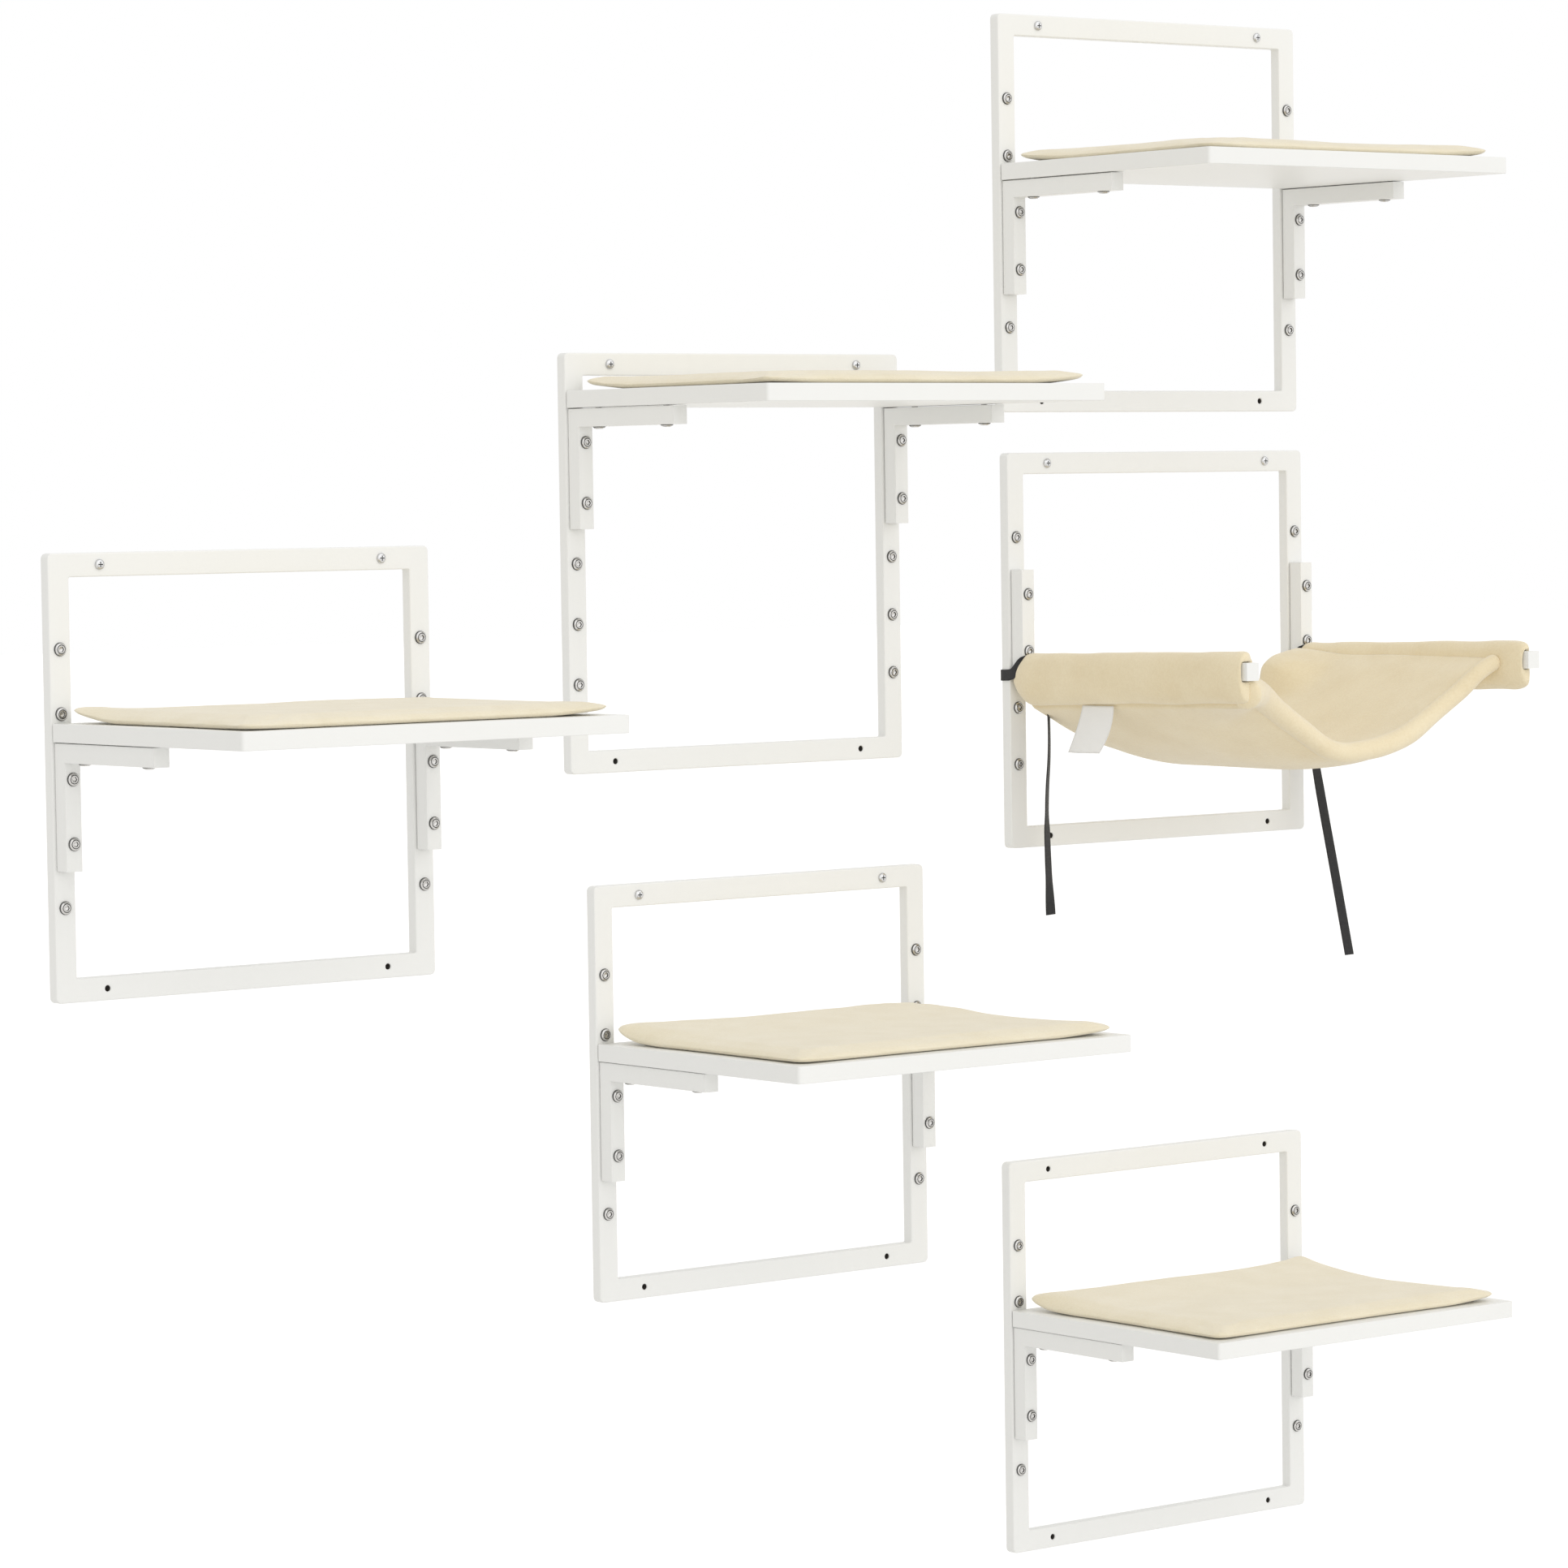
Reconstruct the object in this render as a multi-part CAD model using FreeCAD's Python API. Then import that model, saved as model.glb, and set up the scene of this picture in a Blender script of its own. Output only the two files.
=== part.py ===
import FreeCAD, Part
import math
import os

# Cat climbing wall: five cushioned shelves and one hammock, each on its own wall frame.
# Millimetres. The wall is the plane y = 0, the room is on -y, +x runs right along the wall, +z is up.
# The origin is the middle of the four wall holes of the lowest shelf's frame, on the wall.

Vector = FreeCAD.Vector
os.makedirs("parts", exist_ok=True)

# Wall frame: two uprights with two rails between them
frame_width = 400.0
frame_height = 390.0
frame_thickness = 12.0
member_width = 21.0
frame_corner_radius = 5.0
wall_hole_inset = 52.0
wall_hole_diameter = 5.5

# Places of the modules on the wall: gaps between neighbouring frames, and what is left over, as shifts
hammock_above_shelf_5 = 311.0
hammock_shift = 9.0
shelf_3_above_hammock = 40.0
shelf_3_shift = 4.0
shelf_4_left_of_shelf_5 = 106.0
shelf_4_rise = 302.0
shelf_2_above_shelf_4 = 105.0
shelf_2_shift = -24.0
shelf_1_left_of_shelf_2 = 157.0
shelf_1_rise = -175.0

# Bolt rows in the uprights, counted down from the frame's top
bolt_rows = 5
first_bolt_distance = 83.0
bolt_over_board_gap = 2.0

# Bracket: a leg against the upright and an arm out into the room, mitred at the corner
bracket_width = 16.0
bracket_depth = 17.0
leg_end_past_bolt = 24.0
arm_top_over_bolt = 32.0
shelf_arm_reach = 160.0
near_board_bolt_reach = 38.0
far_board_bolt_from_tip = 20.0
hammock_arm_reach = 336.0

# Board
board_depth = 300.0
board_thickness = 16.0
board_corner_radius = 3.0

# Cushion on the board
cushion_inset = 10.0
cushion_height = 13.0
cushion_seam_height = 3.5
cushion_side_draw = 5.0
cushion_base_draw = 6.0
cushion_shoulder_draw = 9.0
cushion_crown_draw = 65.0
cushion_shoulder_share = 0.62
cushion_side_steps = 8
soft_clearance = 0.3

# Bolts, and the pan head screws in the wall
bolt_diameter = 6.0
bolt_head_diameter = 12.0
bolt_head_crown_diameter = 7.0
bolt_head_height = 3.0
bolt_tip_margin = 1.0
board_bolt_bite = 12.0
screw_diameter = 4.5
screw_head_diameter = 9.3
screw_head_crown_diameter = 5.0
screw_head_height = 2.4
screw_length = 40.0
fastener_clearance = 0.1
head_sides = 12
core_sides = 6

# Hammock: a plush pocket on each arm, called a sleeve here, and a sling between the two
sleeve_half_width = 13.0
sleeve_half_height = 26.25
sleeve_drop = 6.75
sleeve_end_past_frame = 2.0
sleeve_nose_length = 19.0
sleeve_nose_height_draw = 14.0
sleeve_end_draw = 3.0
sleeve_sides = 20
sleeve_nose_steps = 3
arm_tip_showing = 5.5

# Sling sections from the wall to the hem: depths are counted down from the middle of the sleeves
sling_reaches = [8.0, 60.0, 220.0]
sling_outside_edge_insets = [7.0, 7.0, 7.0, 1.8]
sling_outside_edge_depths = [31.2, 31.2, 31.2, 0.1]
sling_outside_depths = [86.8, 94.5, 95.3, 84.8]
sling_outside_round_shares = [0.97, 0.9, 0.88, 0.655]
sling_inside_edge_insets = [7.0, 7.0, 7.0, 9.8]
sling_inside_edge_depths = [-12.2, -12.2, -12.2, -13.2]
sling_inside_depths = [77.8, 85.5, 86.3, 69.3]
sling_inside_round_shares = [0.75, 0.72, 0.71, 0.626]
sling_arc_steps = 8

# Rolled hem along the sling's front edge
hem_radius = 14.5
hem_sides = 12
hem_reach = 279.0
hem_end_reach_gain = 31.0
hem_edge_inset = 7.5
hem_edge_depth = -9.3
hem_depth = 73.8
hem_round_share = 0.635

# Care label, a folded tab under the left sleeve
label_width = 45.0
label_length = 46.0
label_thickness = 0.8
label_reach = 95.0
label_sway = 16.0
label_bow = 5.0

# Webbing straps
webbing_width = 11.0
webbing_thickness = 1.2
loop_back_drop = 7.0
loop_slope_share = 0.13
loop_reach = 13.7

# Each hanging strap's route: (out from the wall, down from the sleeve), its end last
left_tail_route = [(59.0, 0.0), (61.5, 44.0), (59.5, 96.0), (62.5, 154.0), (61.0, 211.0)]
right_tail_route = [(26.0, -1.5), (32.0, 52.0), (47.0, 118.0), (66.0, 196.0), (83.0, 272.0)]
tail_arc_share = 0.45

overrun = 5.0


# Plain shapes

def block(x_low, x_high, y_low, y_high, z_low, z_high):
    """A box between two corners."""
    size = (x_high - x_low, y_high - y_low, z_high - z_low)
    return Part.makeBox(*size, Vector(x_low, y_low, z_low))


def ring(sides, radius, middle, along):
    """Corners of a regular outline round an axis."""
    points_at_wall = abs(along.y) > abs(along.x) + abs(along.z)
    reference = Vector(0, 0, 1) if points_at_wall else Vector(0, 1, 0)
    side = along.cross(reference).normalize()
    other = along.cross(side).normalize()
    corners = []
    for corner in range(sides):
        turn = 2 * math.pi * corner / sides
        corners.append(middle + side * (radius * math.cos(turn)) + other * (radius * math.sin(turn)))
    return corners


def flat_face(corners):
    """A flat face inside its corners."""
    return Part.Face(Part.makePolygon(corners + corners[:1]))


def skinned(rings):
    """A closed solid through rings of equally many corners, in flat facets."""
    faces = [flat_face(rings[0]), flat_face(rings[-1])]
    for near, far in zip(rings, rings[1:]):
        for corner in range(len(near)):
            ahead = (corner + 1) % len(near)
            faces.append(flat_face([near[corner], near[ahead], far[ahead]]))
            faces.append(flat_face([near[corner], far[ahead], far[corner]]))
    solid = Part.makeSolid(Part.makeShell(faces))
    if solid.Volume < 0:
        solid.reverse()
    return solid


def prism(radius, start, along, length):
    """A straight six-sided rod, its corners at the radius."""
    return flat_face(ring(core_sides, radius, start, along)).extrude(along * length)


# Heights of a module, counted from the middle of its frame

def bolt_height(row):
    """Height of a bolt row, row 0 at the top. The rows are so far apart that a bolt head clears the board."""
    pitch = arm_top_over_bolt + board_thickness + bolt_over_board_gap + bolt_head_diameter / 2
    return frame_height / 2 - first_bolt_distance - row * pitch


def arm_top(upper_row):
    """Top of a shelf bracket's arm, on which the board lies."""
    return bolt_height(upper_row) + arm_top_over_bolt


def leg_centre(side):
    """Middle of an upright and of its bracket: side is -1 at the left and 1 at the right."""
    return side * (frame_width - member_width) / 2


# Fasteners

def head(diameter, crown_diameter, height, seat, into):
    """Low head that narrows away from its seat."""
    crown = seat - into * height
    return skinned([ring(head_sides, diameter / 2, seat, into),
                    ring(head_sides, crown_diameter / 2, crown, into)])


def bolt(seat, into, length):
    """Button head bolt: the seat is under the head, the shank goes into the work."""
    button = head(bolt_head_diameter, bolt_head_crown_diameter, bolt_head_height, seat, into)
    return button.fuse(prism(bolt_diameter / 2, seat, into, length)).removeSplitter()


def bolt_hole(seat, into, length):
    """Hole for a bolt's core, a little larger than it."""
    return prism(bolt_diameter / 2 + fastener_clearance, seat, into, length)


def wall_screw(seat):
    """Pan head screw through the rail and on into the wall."""
    into = Vector(0, 1, 0)
    pan = head(screw_head_diameter, screw_head_crown_diameter, screw_head_height, seat, into)
    return pan.fuse(prism(screw_diameter / 2, seat, into, screw_length)).removeSplitter()


# Frame

def upright(side):
    """One side of the frame, full height, with its row of bolt holes."""
    outer = side * frame_width / 2
    inner = side * (frame_width / 2 - member_width)
    half_height = frame_height / 2
    member = block(min(outer, inner), max(outer, inner), -frame_thickness, 0, -half_height, half_height)
    corners = []
    for edge in member.Edges:
        middle = edge.CenterOfMass
        runs_through = edge.BoundBox.YLength > frame_thickness / 2
        if runs_through and abs(middle.x - outer) < member_width / 2:
            corners.append(edge)
    radius = min(frame_corner_radius, member_width / 2)
    member = member.makeFillet(radius, corners)
    for row in range(bolt_rows):
        start = Vector(leg_centre(side), -frame_thickness - overrun, bolt_height(row))
        hole = bolt_hole(start, Vector(0, 1, 0), frame_thickness + 2 * overrun)
        member = member.cut(hole)
    return member


def wall_holes(level):
    """Middles of the two wall holes in a rail: level is 1 for the top rail and -1 for the bottom one."""
    height = level * (frame_height - member_width) / 2
    reach = frame_width / 2 - wall_hole_inset
    return [Vector(-reach, 0, height), Vector(reach, 0, height)]


def rail(level):
    """Top or bottom of the frame, between the uprights, with its two wall holes."""
    reach = frame_width / 2 - member_width
    height = level * (frame_height - member_width) / 2
    member = block(-reach, reach, -frame_thickness, 0,
                   height - member_width / 2, height + member_width / 2)
    for middle in wall_holes(level):
        start = middle + Vector(0, overrun, 0)
        hole = Part.makeCylinder(wall_hole_diameter / 2, frame_thickness + 2 * overrun,
                                 start, Vector(0, -1, 0))
        member = member.cut(hole)
    return member


def frame():
    """The four members of one frame."""
    return [upright(-1), upright(1), rail(1), rail(-1)]


# Brackets

def mitred(profile_corners, side):
    """A bracket member from its outline in the y-z plane, centred on the upright's middle."""
    left = leg_centre(side) - bracket_width / 2
    outline = [Vector(left, y, z) for y, z in profile_corners]
    return flat_face(outline).extrude(Vector(bracket_width, 0, 0))


def bracket(side, corner_height, leg_end, reach, rows):
    """Leg and arm, mitred at the corner: the leg runs from the corner height to leg_end, up or down."""
    back = -frame_thickness
    front = back - bracket_depth
    tip = back - reach
    turn = 1 if leg_end > corner_height else -1
    inside = corner_height + turn * bracket_depth
    leg = mitred([(back, corner_height), (back, leg_end), (front, leg_end), (front, inside)], side)
    arm = mitred([(back, corner_height), (front, inside), (tip, inside), (tip, corner_height)], side)
    for row in rows:
        start = Vector(leg_centre(side), front - overrun, bolt_height(row))
        leg = leg.cut(bolt_hole(start, Vector(0, 1, 0), bracket_depth + 2 * overrun))
    return [leg, arm]


def shelf_bracket(side, upper_row):
    """Bracket under a board, its leg hanging down over two bolt rows."""
    rows = [upper_row, upper_row + 1]
    leg_end = bolt_height(upper_row + 1) - leg_end_past_bolt
    leg, arm = bracket(side, arm_top(upper_row), leg_end, shelf_arm_reach, rows)
    for seat in board_bolt_seats(side, upper_row):
        start = seat - Vector(0, 0, overrun)
        arm = arm.cut(bolt_hole(start, Vector(0, 0, 1), bracket_depth + 2 * overrun))
    return [leg, arm]


def hammock_bracket(side, upper_row):
    """Bracket in a hammock sleeve, its leg standing up over two bolt rows."""
    rows = [upper_row, upper_row + 1]
    leg_end = bolt_height(upper_row) + leg_end_past_bolt
    return bracket(side, hammock_arm_bottom(upper_row), leg_end, hammock_arm_reach, rows)


def hammock_arm_bottom(upper_row):
    """Underside of the hammock bracket's arm."""
    return bolt_height(upper_row + 1) - leg_end_past_bolt


def board_bolt_seats(side, upper_row):
    """Where the two board bolts of a bracket bear on the arm's underside."""
    height = arm_top(upper_row) - bracket_depth
    reaches = (near_board_bolt_reach, shelf_arm_reach - far_board_bolt_from_tip)
    return [Vector(leg_centre(side), -frame_thickness - reach, height) for reach in reaches]


def bracket_bolts(upper_row):
    """Bolts through the bracket legs into the uprights."""
    bolts = []
    for side in (-1, 1):
        for row in (upper_row, upper_row + 1):
            seat = Vector(leg_centre(side), -frame_thickness - bracket_depth, bolt_height(row))
            length = bracket_depth + frame_thickness - bolt_tip_margin
            bolts.append(bolt(seat, Vector(0, 1, 0), length))
    return bolts


def spare_bolts(upper_row):
    """Bolts that close the unused holes of both uprights."""
    bolts = []
    for side in (-1, 1):
        for row in range(bolt_rows):
            if row not in (upper_row, upper_row + 1):
                seat = Vector(leg_centre(side), -frame_thickness, bolt_height(row))
                bolts.append(bolt(seat, Vector(0, 1, 0), frame_thickness - bolt_tip_margin))
    return bolts


def board_bolts(upper_row):
    """Bolts up through the arms into the board."""
    bolts = []
    for side in (-1, 1):
        for seat in board_bolt_seats(side, upper_row):
            bolts.append(bolt(seat, Vector(0, 0, 1), bracket_depth + board_bolt_bite))
    return bolts


def wall_screws():
    """The two screws in the frame's top rail."""
    return [wall_screw(middle - Vector(0, frame_thickness, 0)) for middle in wall_holes(1)]


# Board and cushion

def board(upper_row):
    """Shelf board, its back edge against the frame, with blind holes for its bolts."""
    back = -frame_thickness
    bottom = arm_top(upper_row)
    half_width = frame_width / 2
    plank = block(-half_width, half_width, back - board_depth, back, bottom, bottom + board_thickness)
    corners = [edge for edge in plank.Edges if edge.BoundBox.ZLength > board_thickness / 2]
    plank = plank.makeFillet(min(board_corner_radius, board_thickness / 2), corners)
    for side in (-1, 1):
        for seat in board_bolt_seats(side, upper_row):
            hole = bolt_hole(seat, Vector(0, 0, 1), bracket_depth + board_bolt_bite + bolt_tip_margin)
            plank = plank.cut(hole)
    return plank


def cushion_ring(draw, height):
    """Outline of four sides drawn in between pointed corners, moved inwards by draw."""
    half_width = frame_width / 2 - cushion_inset - draw
    front = -frame_thickness - board_depth + cushion_inset + draw
    back = -frame_thickness - cushion_inset - draw
    corners = [Vector(-half_width, front, height), Vector(half_width, front, height),
               Vector(half_width, back, height), Vector(-half_width, back, height)]
    points = []
    for start, end in zip(corners, corners[1:] + corners[:1]):
        inwards = Vector(0, 0, 1).cross((end - start).normalize())
        for step in range(cushion_side_steps):
            along = step / cushion_side_steps
            bow = 4 * along * (1 - along) * cushion_side_draw
            points.append(start + (end - start) * along + inwards * bow)
    return points


def cushion(upper_row):
    """Flat-bottomed pad with a seam round its edge and a low crown."""
    base = arm_top(upper_row) + board_thickness + soft_clearance
    rise = cushion_height - cushion_seam_height
    shoulder = cushion_seam_height + rise * cushion_shoulder_share
    return skinned([
        cushion_ring(cushion_base_draw, base),
        cushion_ring(0, base + cushion_seam_height),
        cushion_ring(cushion_shoulder_draw, base + shoulder),
        cushion_ring(cushion_crown_draw, base + cushion_height),
    ])


# Hammock

def sleeve_height(upper_row):
    """Middle of the sleeves, which hang a little below the arms' middle."""
    return hammock_arm_bottom(upper_row) + bracket_depth / 2 - sleeve_drop


def sleeve_ring(side, upper_row, half_width, half_height, reach):
    """Outline of a sleeve at one distance from the wall: two half rounds with flat sides between."""
    middle = Vector(leg_centre(side), -reach, sleeve_height(upper_row))
    to_round = Vector(0, 0, half_height - half_width)
    corners = []
    for corner in range(sleeve_sides):
        turn = 2 * math.pi * (corner + 0.5) / sleeve_sides
        around = Vector(half_width * math.cos(turn), 0, half_width * math.sin(turn))
        corners.append(middle + around + (to_round if around.z > 0 else -to_round))
    return corners


def sleeve_roll(side, upper_row):
    """The sleeve's padded outside: a nose at the wall, then straight, with a softened cut end."""
    wall_end = frame_thickness + sleeve_end_past_frame
    room_end = frame_thickness + hammock_arm_reach - arm_tip_showing
    rings = []
    for step in range(sleeve_nose_steps + 1):
        turn = math.pi / 2 * step / sleeve_nose_steps
        reach = wall_end + sleeve_nose_length * (1 - math.cos(turn))
        half_width = sleeve_half_width - sleeve_end_draw * (1 - math.sin(turn))
        half_height = sleeve_half_height - sleeve_nose_height_draw * (1 - math.sin(turn))
        rings.append(sleeve_ring(side, upper_row, half_width, half_height, reach))
    shoulder = room_end - 2 * sleeve_end_draw
    rings.append(sleeve_ring(side, upper_row, sleeve_half_width, sleeve_half_height, shoulder))
    half_width = sleeve_half_width - sleeve_end_draw
    rings.append(sleeve_ring(side, upper_row, half_width, sleeve_half_height - sleeve_end_draw, room_end))
    return skinned(rings)


def sleeve(side, upper_row):
    """Padded plush sleeve on an arm, with a slit round the leg."""
    left = leg_centre(side) - bracket_width / 2 - soft_clearance
    right = leg_centre(side) + bracket_width / 2 + soft_clearance
    bottom = hammock_arm_bottom(upper_row) - soft_clearance
    arm_tip = frame_thickness + hammock_arm_reach
    arm_top = bottom + bracket_depth + 2 * soft_clearance
    tunnel = block(left, right, -arm_tip, overrun, bottom, arm_top)
    leg_front = frame_thickness + bracket_depth + bolt_head_height + soft_clearance
    slot = block(left, right, -leg_front, overrun, bottom, arm_top + sleeve_half_height)
    return sleeve_roll(side, upper_row).cut(tunnel).cut(slot)


def sling_half_curve(reach, edge_x, edge_z, bottom, round_share):
    """Right half of a sling section: an arc from its lowest point, then a straight flank to its edge.

    The arc has a share of the radius at which it would reach the edge by itself.
    """
    edge_rise = edge_z - bottom
    radius = round_share * (edge_x ** 2 + edge_rise ** 2) / (2 * edge_rise)
    centre_z = bottom + radius
    distance = math.hypot(edge_x, edge_z - centre_z)
    tangent_turn = math.atan2(edge_z - centre_z, edge_x) - math.acos(radius / distance)
    points = []
    for step in range(sling_arc_steps + 1):
        turn = -math.pi / 2 + (tangent_turn + math.pi / 2) * step / sling_arc_steps
        points.append(Vector(radius * math.cos(turn), -reach, centre_z + radius * math.sin(turn)))
    points.append(Vector(edge_x, -reach, edge_z))
    return points


def sling_curve(upper_row, reach, edge_inset, edge_depth, depth, round_share):
    """A whole sling section from the left flank's end to the right one's."""
    edge_x = leg_centre(1) - edge_inset
    edge_z = sleeve_height(upper_row) - edge_depth
    bottom = sleeve_height(upper_row) - depth
    right = sling_half_curve(reach, edge_x, edge_z, bottom, round_share)
    left = [Vector(-point.x, point.y, point.z) for point in reversed(right[1:])]
    return left + right


def clear_of_sleeves(cloth, upper_row):
    """Cut cloth back to lie against both sleeves."""
    room_end = frame_thickness + hammock_arm_reach
    half_width = sleeve_half_width + soft_clearance
    half_height = sleeve_half_height + soft_clearance
    for side in (-1, 1):
        space = skinned([sleeve_ring(side, upper_row, half_width, half_height, 0),
                         sleeve_ring(side, upper_row, half_width, half_height, room_end)])
        cloth = cloth.cut(space)
    return cloth


def sling(upper_row):
    """The sling between the sleeves: round and slack at the wall, drawn tight at the front hem."""
    front_reach = hem_reach - hem_radius - soft_clearance
    outsides = zip(sling_outside_edge_insets, sling_outside_edge_depths, sling_outside_depths,
                   sling_outside_round_shares)
    insides = zip(sling_inside_edge_insets, sling_inside_edge_depths, sling_inside_depths,
                  sling_inside_round_shares)
    rings = []
    for reach, outside, inside in zip(sling_reaches + [front_reach], outsides, insides):
        below = sling_curve(upper_row, frame_thickness + reach, *outside)
        above = sling_curve(upper_row, frame_thickness + reach, *inside)
        rings.append(below + above[::-1])
    return clear_of_sleeves(skinned(rings), upper_row)


def front_hem(upper_row):
    """Thick rolled hem along the sling's front edge, its two ends brought forward along the sleeves."""
    reach = frame_thickness + hem_reach
    spine = sling_curve(upper_row, reach, hem_edge_inset, hem_edge_depth, hem_depth, hem_round_share)
    end_x = spine[-1].x
    for point in spine:
        point.y -= hem_end_reach_gain * (point.x / end_x) ** 4
    rings = []
    for place_on_spine, point in enumerate(spine):
        before = spine[max(place_on_spine - 1, 0)]
        after = spine[min(place_on_spine + 1, len(spine) - 1)]
        rings.append(ring(hem_sides, hem_radius, point, (after - before).normalize()))
    return clear_of_sleeves(skinned(rings), upper_row)


def care_label(upper_row):
    """Blank folded label that hangs from the left sleeve's seam, bowed towards the wall."""
    top = sleeve_height(upper_row) - sleeve_half_height - soft_clearance
    left = leg_centre(-1)
    near = -frame_thickness - label_reach
    far = near - label_width
    drop = Vector(-label_bow, label_sway, -label_length)
    top_near = Vector(left, near, top)
    top_far = Vector(left, far, top)
    corners = [top_near, top_far, top_far + drop, top_near + drop]
    return flat_face(corners).extrude(Vector(-label_thickness, 0, 0))


def strap_loop(side, upper_row):
    """Webbing round the back of the upright, its two ends close to the sleeve's nose."""
    middle = leg_centre(side)
    level = sleeve_height(upper_row) - loop_back_drop
    inner = member_width / 2 + soft_clearance
    outer = inner + webbing_thickness
    near = -soft_clearance
    behind = near - webbing_thickness
    plan = [(-inner, near), (-inner, loop_reach), (-outer, loop_reach), (-outer, behind),
            (outer, behind), (outer, loop_reach), (inner, loop_reach), (inner, near)]
    corners = [Vector(middle + x, -reach, level + reach * loop_slope_share) for x, reach in plan]
    return flat_face(corners).extrude(Vector(0, 0, webbing_width))


def rounded_route(points):
    """Straight runs joined by tangent arcs, as large as the shorter run beside each allows."""
    edges = []
    radii = []
    last = points[0]
    for before, corner, after in zip(points, points[1:], points[2:]):
        back = before - corner
        ahead = after - corner
        turn = math.pi - back.getAngle(ahead)
        cut_back = tail_arc_share * min(back.Length, ahead.Length)
        radii.append(cut_back / math.tan(turn / 2))
        start = corner + back.normalize() * cut_back
        end = corner + ahead.normalize() * cut_back
        bisector = (back + ahead).normalize()
        to_centre = cut_back / math.sin(turn / 2)
        middle = corner + bisector * (to_centre - radii[-1])
        edges.append(Part.LineSegment(last, start).toShape())
        edges.append(Part.Arc(start, middle, end).toShape())
        last = end
    edges.append(Part.LineSegment(last, points[-1]).toShape())
    return Part.Wire(edges), radii


def strap_tail(side, route, upper_row):
    """Loose end of a strap, hanging from the sleeve's underside."""
    top = sleeve_height(upper_row) - sleeve_half_height - soft_clearance
    middle = leg_centre(side)
    points = [Vector(middle, -reach, top - drop) for reach, drop in route]
    spine, radii = rounded_route(points)
    half = webbing_width / 2
    half_thick = webbing_thickness / 2
    along = (points[1] - points[0]).normalize()
    across = Vector(1, 0, 0)
    thick = along.cross(across)
    section = [(-half, -half_thick), (half, -half_thick), (half, half_thick), (-half, half_thick)]
    corners = [points[0] + across * a + thick * t for a, t in section]
    tail = spine.makePipeShell([Part.makePolygon(corners + corners[:1])], True, False)
    straight_volume = webbing_width * webbing_thickness * spine.Length
    print("strap tail: length", round(spine.Length, 1), "radii", [round(r) for r in radii])
    print("volume over section times length", round(tail.Volume / straight_volume, 4))
    return tail


# Modules

def place(solids, x, z):
    """Move a module's solids from its own middle to its place on the wall."""
    moved = []
    for solid in solids:
        copy = solid.copy()
        copy.translate(Vector(x, 0, z))
        moved.append(copy)
    return moved


def export(name, solids):
    """One file per node: a single solid, or a group of separate ones."""
    shape = solids[0] if len(solids) == 1 else Part.makeCompound(solids)
    if not shape.isValid():
        print("invalid:", name)
    shape.exportStep("parts/" + name + ".step")


def single(shape):
    """The one solid that a shape holds."""
    if len(shape.Solids) != 1:
        print("solids in one piece:", len(shape.Solids))
    return shape.Solids[0]


def base_module(upper_row, screwed):
    """What every module has: frame, bracket bolts, spare bolts and, where it is hung, wall screws."""
    pieces = {"frame": frame(), "bracket_bolts": bracket_bolts(upper_row),
              "spare_bolts": spare_bolts(upper_row)}
    if screwed:
        pieces["wall_screws"] = wall_screws()
    return pieces


def shelf_module(upper_row, screwed):
    """All pieces of one shelf."""
    pieces = base_module(upper_row, screwed)
    pieces["bracket_left"] = shelf_bracket(-1, upper_row)
    pieces["bracket_right"] = shelf_bracket(1, upper_row)
    pieces["board"] = [board(upper_row)]
    pieces["board_bolts"] = board_bolts(upper_row)
    pieces["cushion"] = [cushion(upper_row)]
    return pieces


def hammock_module(upper_row):
    """All pieces of the hammock."""
    pieces = base_module(upper_row, True)
    pieces["bracket_left"] = hammock_bracket(-1, upper_row)
    pieces["bracket_right"] = hammock_bracket(1, upper_row)
    pieces["sleeve_left"] = [sleeve(-1, upper_row)]
    pieces["sleeve_right"] = [sleeve(1, upper_row)]
    pieces["sling"] = [sling(upper_row)]
    pieces["front_hem"] = [front_hem(upper_row)]
    pieces["care_label"] = [care_label(upper_row)]
    pieces["strap_loop_left"] = [strap_loop(-1, upper_row)]
    pieces["strap_loop_right"] = [strap_loop(1, upper_row)]
    pieces["strap_tail_left"] = [strap_tail(-1, left_tail_route, upper_row)]
    pieces["strap_tail_right"] = [strap_tail(1, right_tail_route, upper_row)]
    return pieces


# Middles of the frames, worked out from the gaps between them, shelf 5's first
hammock_z = frame_height + hammock_above_shelf_5
shelf_3_z = hammock_z + frame_height + shelf_3_above_hammock
shelf_4_x = -frame_width - shelf_4_left_of_shelf_5
shelf_2_x = shelf_4_x + shelf_2_shift
shelf_2_z = shelf_4_rise + frame_height + shelf_2_above_shelf_4
shelf_1_x = shelf_2_x - frame_width - shelf_1_left_of_shelf_2
shelf_1_z = shelf_2_z + shelf_1_rise

# Which bolt row each bracket's upper bolt takes: row 0 is the top one
modules = [
    ("shelf_1", shelf_module(2, True), shelf_1_x, shelf_1_z),
    ("shelf_2", shelf_module(0, True), shelf_2_x, shelf_2_z),
    ("shelf_3", shelf_module(2, True), shelf_3_shift, shelf_3_z),
    ("shelf_4", shelf_module(2, True), shelf_4_x, shelf_4_rise),
    ("shelf_5", shelf_module(2, False), 0, 0),
    ("hammock", hammock_module(1), hammock_shift, hammock_z),
]

for module, pieces, x, z in modules:
    for piece, solids in pieces.items():
        export(module + "_" + piece, [single(s) for s in place(solids, x, z)])
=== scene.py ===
import math

import bmesh
import bpy
from mathutils import Matrix, Vector, noise


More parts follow.
